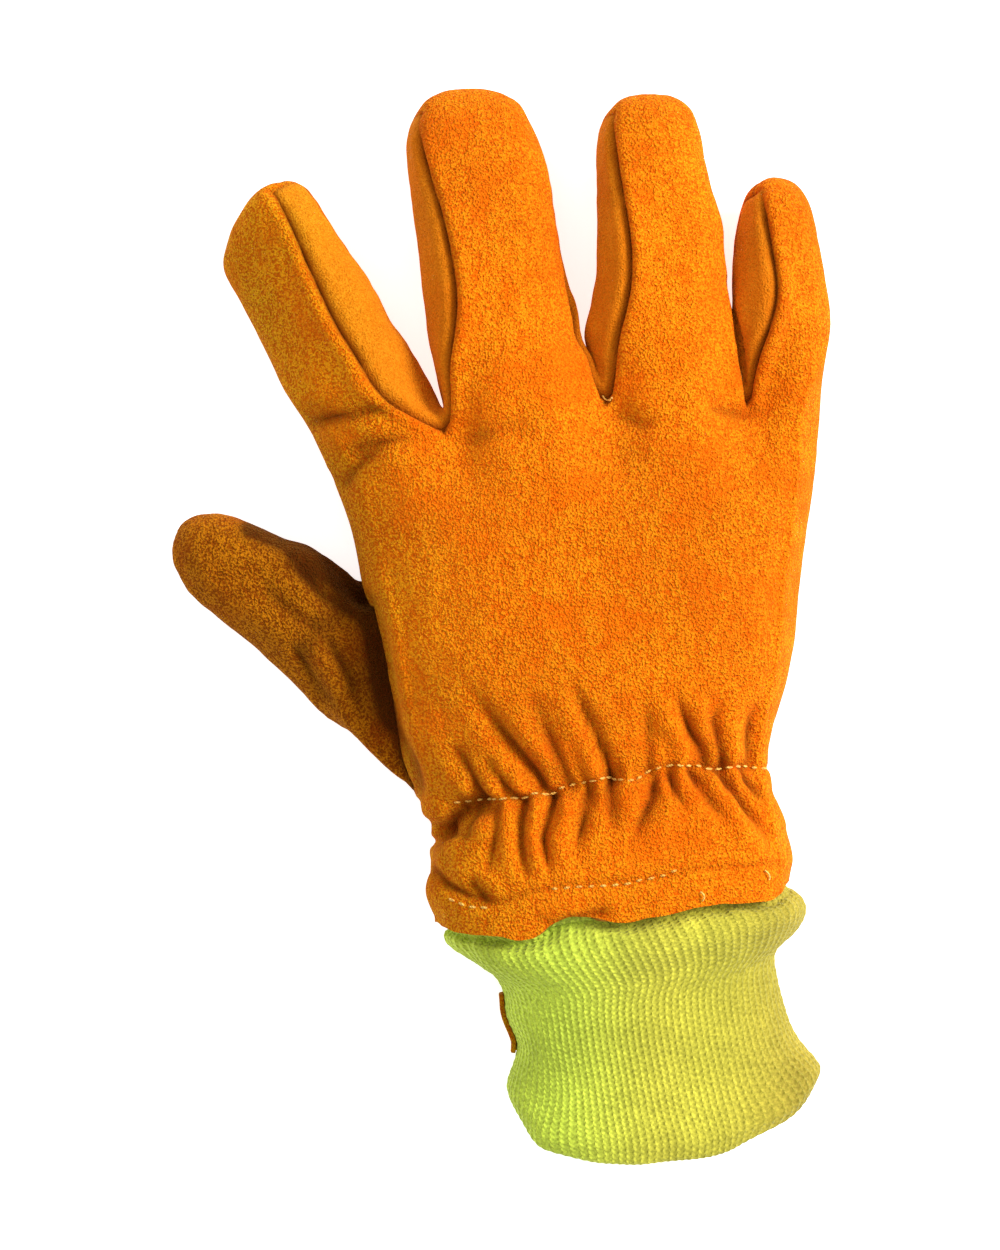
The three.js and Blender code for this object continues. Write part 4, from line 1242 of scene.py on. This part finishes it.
fleshSide = suedeMaterial("fleshSide", leathers["flesh"], 0.1)

# Knit: ribs of small loops, each rib's loops half a loop beside the next one's, with dark holes between.
# The colours change across the cuff's width, greener towards the thumb's side and darker and more golden at
# the far side: a painted shift of light and shade.
knit = {
    "light": (0.58, 0.54, 0.055, 1),
    "dark": (0.34, 0.34, 0.018, 1),
    "thumbSide": (0.52, 0.66, 0.06, 1),  # greener towards the thumb's side
    "farSide": (0.34, 0.26, 0.032, 1),
    "thumbSideX": 0.012,
    "middleX": 0.05,
    "farSideX": 0.09,
    "wobble": 330.0,
    "wobbleReach": (0.22, 0.34, 0.0),
    "loopSlant": 0.42,
    "holeSharpness": 2.2,
    "stain": 55.0,
    "yarn": 1150.0,
    "bump": 0.0003,
}


def knitMaterial():
    made, tree, shader = newMaterial("ribbedKnit")
    place = addNode(tree, "ShaderNodeUVMap", {"uv_map": "knitMap"}).outputs[0]
    coords = addNode(tree, "ShaderNodeTexCoord").outputs["Object"]
    wobble = noiseNode(tree, coords, knit["wobble"], 2.0, output="Color")
    shaken = vectorNode(tree, "MULTIPLY_ADD", {0: wobble, 1: knit["wobbleReach"], 2: place})
    parts = addNode(tree, "ShaderNodeSeparateXYZ", None, {0: shaken}).outputs
    inRib = mathNode(tree, "FRACT", parts[0])
    fromMiddle = times(tree, mathNode(tree, "ABSOLUTE", minus(tree, inRib, 0.5)), 2.0)
    stagger = times(tree, mathNode(tree, "MODULO", mathNode(tree, "FLOOR", parts[0]), 2.0), 0.5)
    slanted = mathNode(tree, "MULTIPLY_ADD", fromMiddle, knit["loopSlant"], parts[1])
    turn = times(tree, plus(tree, slanted, stagger), 2 * math.pi)
    loops = mathNode(tree, "MULTIPLY_ADD", mathNode(tree, "SINE", turn), 0.5, 0.5)
    gaps = minus(tree, 1.0, loops)
    between = rangeNode(tree, fromMiddle, 0.45, 1.0)
    holes = times(tree, between, mathNode(tree, "POWER", gaps, knit["holeSharpness"]))
    x = addNode(tree, "ShaderNodeSeparateXYZ", None, {0: coords}).outputs[0]
    # A painted shift of light and shade across the cuff's width.
    nearThumb = rangeNode(tree, x, knit["thumbSideX"], knit["middleX"])
    colour = mixColour(tree, nearThumb, knit["thumbSide"], knit["light"])
    colour = mixColour(tree, rangeNode(tree, x, knit["middleX"], knit["farSideX"]), colour, knit["farSide"])
    stain = noiseNode(tree, coords, knit["stain"], 3.0)
    colour = mixColour(tree, 1.0, colour, rangeNode(tree, stain, 0.3, 0.7, 0.86, 1.1), "MULTIPLY")
    yarn = noiseNode(tree, coords, knit["yarn"], 3.0, 0.7)
    colour = mixColour(tree, 1.0, colour, rangeNode(tree, yarn, 0.3, 0.7, 0.72, 1.26), "MULTIPLY")
    shade = mathNode(tree, "MULTIPLY_ADD", gaps, 0.1, times(tree, holes, 0.4))
    colour = mixColour(tree, shade, colour, knit["dark"])
    tree.links.new(colour, shader.inputs["Base Color"])
    ribHeight = minus(tree, 1.0, mathNode(tree, "POWER", fromMiddle, 2.0))
    height = plus(tree, times(tree, ribHeight, 0.6), times(tree, loops, 0.5))
    height = mathNode(tree, "MULTIPLY_ADD", yarn, 0.35, minus(tree, height, holes))
    bump = addNode(tree, "ShaderNodeBump", None, {
        "Strength": 0.8, "Distance": knit["bump"], "Height": height})
    tree.links.new(bump.outputs[0], shader.inputs["Normal"])
    tree.links.new(rangeNode(tree, yarn, 0.3, 0.7, 0.95, 0.8), shader.inputs["Roughness"])
    setSheen(shader, 0.15, 0.2, 0.5, (0.9, 0.95, 0.5, 1))
    return made


ribbedKnit = knitMaterial()


# Sewing thread: a twisted pair of strands, light and a little dirty.
thread = {"clean": (0.86, 0.5, 0.085, 1), "dirty": (0.78, 0.36, 0.04, 1), "looseEnd": 0.27}


def threadMaterial():
    made, tree, shader = newMaterial("creamThread")
    coords = addNode(tree, "ShaderNodeTexCoord").outputs["Object"]
    twist = addNode(tree, "ShaderNodeTexWave", {"wave_type": "BANDS", "bands_direction": "DIAGONAL"}, {
        "Vector": coords, "Scale": 620.0, "Distortion": 1.5, "Detail": 1.0}).outputs["Fac"]
    dirt = noiseNode(tree, coords, 90.0, 2.0)
    colour = mixColour(tree, rangeNode(tree, dirt, 0.35, 0.7), thread["clean"], thread["dirty"])
    colour = mixColour(tree, 1.0, colour, rangeNode(tree, twist, 0.0, 1.0, 0.72, 1.1), "MULTIPLY")
    tree.links.new(colour, shader.inputs["Base Color"])
    bump = addNode(tree, "ShaderNodeBump", None, {"Strength": 0.6, "Distance": 0.0002, "Height": twist})
    tree.links.new(bump.outputs[0], shader.inputs["Normal"])
    tree.links.new(rangeNode(tree, dirt, 0.3, 0.7, 0.55, 0.8), shader.inputs["Roughness"])
    return made


creamThread = threadMaterial()
for name, made in panels.items():
    if name.startswith("thumb"):
        suede = thumbSuede
    elif name.startswith("fourchette"):
        suede = stripSuede
    else:
        suede = backSuede
    made.data.materials.append(suede)
    made.data.materials.append(fleshSide)
    walled = evaluatedMesh(made)
    made.modifiers.clear()
    made.data = walled
    low = readPoints(walled)
    low[:, 2] = np.maximum(low[:, 2], 0)
    walled.vertices.foreach_set("co", low.ravel())
    walled.update()
    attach(made, "root")
    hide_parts(name)
print("leather finished")


# Ribs of the knit, raised along the surface's own normals.
def knitRibs():
    tree, start, end, sockets = newTree("knitRibs", "GeometryNodeTree", [
        ("Geometry", "NodeSocketGeometry", None),
        ("Height", "NodeSocketFloat", 0.00034),
        ("Loop height", "NodeSocketFloat", 0.0001),
        ("Material", "NodeSocketMaterial", None),
    ], [("Geometry", "NodeSocketGeometry")])
    given = start.outputs
    rib, course = [
        addNode(tree, "GeometryNodeInputNamedAttribute", {"data_type": "FLOAT"}, {"Name": name}).outputs[0]
        for name in ("ribTurn", "courseTurn")
    ]
    ribWave = mathNode(tree, "COSINE", times(tree, rib, 2 * math.pi))
    crest = times(tree, ribWave, times(tree, given["Height"], -0.5))
    loops = times(tree, mathNode(tree, "SINE", times(tree, course, math.pi)), given["Loop height"])
    normal = addNode(tree, "GeometryNodeInputNormal").outputs[0]
    offset = vectorNode(tree, "SCALE", {0: normal, "Scale": plus(tree, crest, loops)})
    raised = addNode(tree, "GeometryNodeSetPosition", None, {
        "Geometry": given["Geometry"], "Offset": offset}).outputs[0]
    closeTree(tree, end, raised, given["Material"])
    return tree, sockets


ribTree, ribSockets = knitRibs()
cuffPiece = grown(cuffSource, ribTree, ribSockets, {
    "Height": cuff["ribHeight"] * mm, "Loop height": cuff["loopHeight"] * mm,
    "Material": ribbedKnit}, "knitted_cuff")
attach(cuffPiece, "root")
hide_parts("knit_cuff")

# The strip of leather bent round the cuff's lower corner, of which an edge shows beside the cuff.
tab = {
    "columns": (1.26, -1.2),  # columns of the hand's rings
    "rows": (0.4, 0.73),  # shares of the cuff's length
    "across": 17,  # points
    "along": 33,
    "clearance": 0.4,
    "wall": 1.4,
    "edge": 0.5,
    "shadeAndSeamLine": 0.4,
    "cuffMiddle": (45, -118, 18),  # a point in the cuff, which the strip faces away from
}


def gridFaces(rows, count):
    starts = [i * count + k for i in range(rows - 1) for k in range(count - 1)]
    return [(k, k + 1, k + count + 1, k + count) for k in starts]


tabColumns = np.array([ringAngle(k) for k in np.linspace(*tab["columns"], tab["across"])])
tabHems = np.array([handSurface(angle, -1)[0].y for angle in tabColumns])
tabPoints = []
for down in np.linspace(*tab["rows"], tab["along"]):
    row = cuffRow(tabColumns, tabHems, down, -(tab["clearance"] + tab["wall"]))
    tabPoints += list(row + handShift)
tabPoints = pulled(np.array(tabPoints))
tabPoints[:, 2] = np.maximum(tabPoints[:, 2], 0)
tabFaces = gridFaces(tab["along"], tab["across"])
tabNormals = normalsOf(tabPoints, np.array(tabFaces))
if ((tabPoints - tab["cuffMiddle"]) * tabNormals).sum() < 0:
    tabFaces = [face[::-1] for face in tabFaces]
tabPiece = meshObject("pull_tab_leather", tabPoints * mm, tabFaces)
tabWall = tabPiece.modifiers.new("wall", "SOLIDIFY")
tabWall.thickness = tab["wall"] * mm
tabWall.offset = -1
tabEdge = tabPiece.modifiers.new("roundedEdge", "BEVEL")
tabEdge.width = tab["edge"] * mm
tabEdge.segments = 3
tabEdge.limit_method = "ANGLE"
tabEdge.angle_limit = math.radians(50)
# The whole tab gets painted shade, darker and yellower, as it lies in shade beside the cuff.
pointValues(tabPiece.data, "shadeAndSeamLine", [tab["shadeAndSeamLine"]] * len(tabPoints))
pointValues(tabPiece.data, "amberShade", [1.0] * len(tabPoints))
tabPiece.data.materials.append(backSuede)
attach(tabPiece, "root")
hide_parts("pull_tab")
print("cuff and pull tab finished")


# A row of stitches: short sewn lengths of thread along a path, each a little out of line.
def stitchRow():
    tree, start, end, sockets = newTree("stitchRow", "GeometryNodeTree", [
        ("Geometry", "NodeSocketGeometry", None),
        ("Pitch", "NodeSocketFloat", 0.005),
        ("Length", "NodeSocketFloat", 0.0027),
        ("Thickness", "NodeSocketFloat", 0.0004),
        ("Seed", "NodeSocketInt", 1),
        ("Material", "NodeSocketMaterial", None),
    ], [("Geometry", "NodeSocketGeometry")])
    given = start.outputs
    path = addNode(tree, "GeometryNodeMeshToCurve", None, {0: given["Geometry"]}).outputs[0]
    spaced = addNode(tree, "GeometryNodeResampleCurve", {"mode": "LENGTH"}, {
        "Curve": path, "Length": given["Pitch"]}).outputs[0]
    tangent = addNode(tree, "GeometryNodeInputTangent").outputs[0]
    aside = addNode(tree, "FunctionNodeRandomValue", {"data_type": "FLOAT_VECTOR"}, {
        0: (-0.16, -0.16, -0.06), 1: (0.16, 0.16, 0.06), "Seed": given["Seed"]}).outputs[0]
    leaning = vectorNode(tree, "ADD", {0: tangent, 1: aside})
    turned = addNode(tree, "FunctionNodeAlignRotationToVector", {"axis": "X"}, {
        "Vector": leaning}).outputs[0]
    ball = addNode(tree, "GeometryNodeMeshUVSphere", None, {
        "Segments": 10, "Rings": 7, "Radius": 0.5}).outputs[0]
    ball = addNode(tree, "GeometryNodeSetShadeSmooth", None, {"Geometry": ball}).outputs[0]
    longer = addNode(tree, "FunctionNodeRandomValue", {"data_type": "FLOAT"}, {
        2: 0.75, 3: 1.15, "Seed": given["Seed"]}).outputs[1]
    thick = times(tree, given["Thickness"], 2.0)
    size = addNode(tree, "ShaderNodeCombineXYZ", None, {
        0: times(tree, given["Length"], longer), 1: thick, 2: thick}).outputs[0]
    sewn = addNode(tree, "GeometryNodeInstanceOnPoints", None, {
        "Points": spaced, "Instance": ball, "Rotation": turned, "Scale": size}).outputs[0]
    closeTree(tree, end, sewn, given["Material"])
    return tree, sockets


# A loose end of thread: a thin round strand along a path.
def threadStrand():
    tree, start, end, sockets = newTree("threadStrand", "GeometryNodeTree", [
        ("Geometry", "NodeSocketGeometry", None),
        ("Thickness", "NodeSocketFloat", 0.0003),
        ("Material", "NodeSocketMaterial", None),
    ], [("Geometry", "NodeSocketGeometry")])
    given = start.outputs
    path = addNode(tree, "GeometryNodeMeshToCurve", None, {0: given["Geometry"]}).outputs[0]
    strandProfile = addNode(tree, "GeometryNodeCurvePrimitiveCircle", None, {
        "Resolution": 7, "Radius": given["Thickness"]}).outputs[0]
    tube = addNode(tree, "GeometryNodeCurveToMesh", None, {
        "Curve": path, "Profile Curve": strandProfile, "Fill Caps": True}).outputs[0]
    smoothTube = addNode(tree, "GeometryNodeSetShadeSmooth", None, {"Geometry": tube}).outputs[0]
    closeTree(tree, end, smoothTube, given["Material"])
    return tree, sockets


# Points of the leather under a line of the photograph's pixels, in millimetres.
leatherRay = {"start": 90, "firstGuess": 36.0, "turns": 3}


def onLeather(line, spacing, above):
    corners = np.array(line, float)
    lengths = np.concatenate([[0], np.cumsum(np.linalg.norm(np.diff(corners, axis=0), axis=1))])
    count = max(2, int(lengths[-1] * photo["scale"] / spacing))
    places = np.linspace(0, lengths[-1], count)
    points = []
    across, down = [np.interp(places, lengths, corners[:, k]) for k in (0, 1)]
    for px, py in zip(across, down):
        height = leatherRay["firstGuess"]
        for turn in range(leatherRay["turns"]):
            nearer = photo["distance"] / (photo["distance"] - (height - photo["planeHeight"]))
            x = (px - photo["centre"][0]) * photo["scale"] / nearer
            y = (photo["centre"][1] - py) * photo["scale"] / nearer
            origin = Vector((x, y, leatherRay["start"]))
            hit, normal, face, away = skinSurface.ray_cast(origin, Vector((0, 0, -1)))
            if hit is None:
                break
            height = hit.z
        if hit is not None:
            points.append(hit + normal * above)
    return points


# The same for points that lie near the leather's underside.
def besideLeather(points, above):
    placed = []
    for point in points:
        hit, normal, face, away = skinSurface.find_nearest(point)
        placed.append(hit + normal * above)
    return placed


def pathObject(name, points):
    mesh = bpy.data.meshes.new(name)
    mesh.from_pydata([tuple(p * mm) for p in points], [(k, k + 1) for k in range(len(points) - 1)], [])
    made = bpy.data.objects.new(name, mesh)
    bpy.context.scene.collection.objects.link(made)
    return made


stitches = {
    "pitch": 3.3,
    "length": 2.3,
    "thickness": 0.4,
    "above": 0.12,  # how far the thread's middle stands above the leather
    "rows": [  # name, line of pixels
        ("elastic", gather["line"][2:-1]),
        ("hemRight", [
            (555, 889), (580, 887), (607, 886), (630, 884), (640, 880), (660, 877), (674, 871),
        ]),
        ("hemLeft", [(452, 900), (468, 907), (484, 908)]),
    ],
    "palmRows": [("elasticPalm", 0.0), ("hemPalm", -0.62)],  # name, place along the hand
    "threadEnds": [
        [(603, 396), (606, 400), (611, 402), (613, 398)],
        [(700, 892), (703, 894), (704, 898), (702, 901)],
        [(764, 871), (767, 873), (769, 877), (768, 880)],
    ],
}
rowTree, rowSockets = stitchRow()
strandTree, strandSockets = threadStrand()


def sewRow(name, points, seed, scale=1.0):
    made = grown(pathObject(name + "Path", points), rowTree, rowSockets, {
        "Pitch": stitches["pitch"] * mm, "Length": stitches["length"] * mm * scale,
        "Thickness": stitches["thickness"] * mm, "Seed": seed,
        "Material": creamThread}, "stitches_" + name)
    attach(made, "root")
    return made


for seed, (name, line) in enumerate(stitches["rows"]):
    sewRow(name, onLeather(line, 1.5, stitches["above"]), seed + 1, 1.0 if name == "elastic" else 0.85)
for seed, (name, place) in enumerate(stitches["palmRows"]):
    angles = np.linspace(-0.35, 0.35 - math.pi, 70)
    under = [handSurface(angle, place)[0] + Vector(handShift) for angle in angles]
    sewRow(name, besideLeather(under, stitches["above"]), seed + 11)
for number, line in enumerate(stitches["threadEnds"]):
    points = onLeather(line, 0.5, 0.5)
    for k, point in enumerate(points):
        point.z += 0.5 * math.sin(math.pi * k / max(len(points) - 1, 1))
    made = grown(pathObject("threadPath", points), strandTree, strandSockets, {
        "Thickness": thread["looseEnd"] * mm, "Material": creamThread}, "thread_end_" + str(number + 1))
    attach(made, "root")
print("stitches sewn")


# A white floor, bright enough that no shadow shows on it, and soft light from the far right.
light = {
    "floorGlow": 0.7,
    "world": 0.67,
    "key": 33.5,
    "keyPlace": (1.25, 0.55, 0.95),
    "keySize": 0.7,
    "fill": 3.0,
    "fillPlace": (-0.5, 0.9, 1.5),
    "fillSize": 1.2,
    "aim": (0.02, 0, 0.02),
    "floorZ": -0.0005,  # just under the lowest stitches
    "floorReach": 6,
}


def floorMaterial():
    made, tree, shader = newMaterial("whitePaper")
    coords = addNode(tree, "ShaderNodeTexCoord").outputs["Object"]
    tone = noiseNode(tree, coords, 3.0, 3.0)
    colour = mixColour(tree, tone, (0.93, 0.93, 0.93, 1), (0.96, 0.96, 0.96, 1))
    tree.links.new(colour, shader.inputs["Base Color"])
    shader.inputs["Roughness"].default_value = 0.95
    shader.inputs["Specular IOR Level"].default_value = 0.0
    shader.inputs["Emission Color"].default_value = (1, 1, 1, 1)
    shader.inputs["Emission Strength"].default_value = light["floorGlow"]
    return made


floorCorners = [
    (x * light["floorReach"], y * light["floorReach"], light["floorZ"])
    for x, y in ((-1, -1), (1, -1), (1, 1), (-1, 1))
]
floor = meshObject("floor", floorCorners, [(0, 1, 2, 3)], False)
floor.data.materials.append(floorMaterial())

world = bpy.data.worlds.new("studio")
bpy.context.scene.world = world
world.use_nodes = True
world.node_tree.nodes["Background"].inputs["Color"].default_value = (1, 1, 1, 1)
world.node_tree.nodes["Background"].inputs["Strength"].default_value = light["world"]


def areaLight(name, place, size, power, colour):
    data = bpy.data.lights.new(name, "AREA")
    data.shape = "DISK"
    data.size = size
    data.energy = power
    data.color = colour
    made = bpy.data.objects.new(name, data)
    made.location = place
    aim = Vector(light["aim"]) - Vector(place)
    made.rotation_euler = aim.to_track_quat("-Z", "Y").to_euler()
    bpy.context.scene.collection.objects.link(made)
    return made


areaLight("keyLight", light["keyPlace"], light["keySize"], light["key"], (1.0, 0.98, 0.95))
areaLight("fillLight", light["fillPlace"], light["fillSize"], light["fill"], (1.0, 1.0, 1.0))

camera = bpy.data.objects.new("camera", bpy.data.cameras.new("camera"))
camera.location = (*photo["cameraPlace"], (photo["planeHeight"] + photo["distance"]) * mm)
camera.data.sensor_width = photo["sensor"]
camera.data.lens = photo["sensor"] * photo["distance"] / (photo["height"] * photo["scale"])
bpy.context.scene.collection.objects.link(camera)
bpy.context.scene.camera = camera
bpy.context.scene.view_settings.view_transform = "Standard"
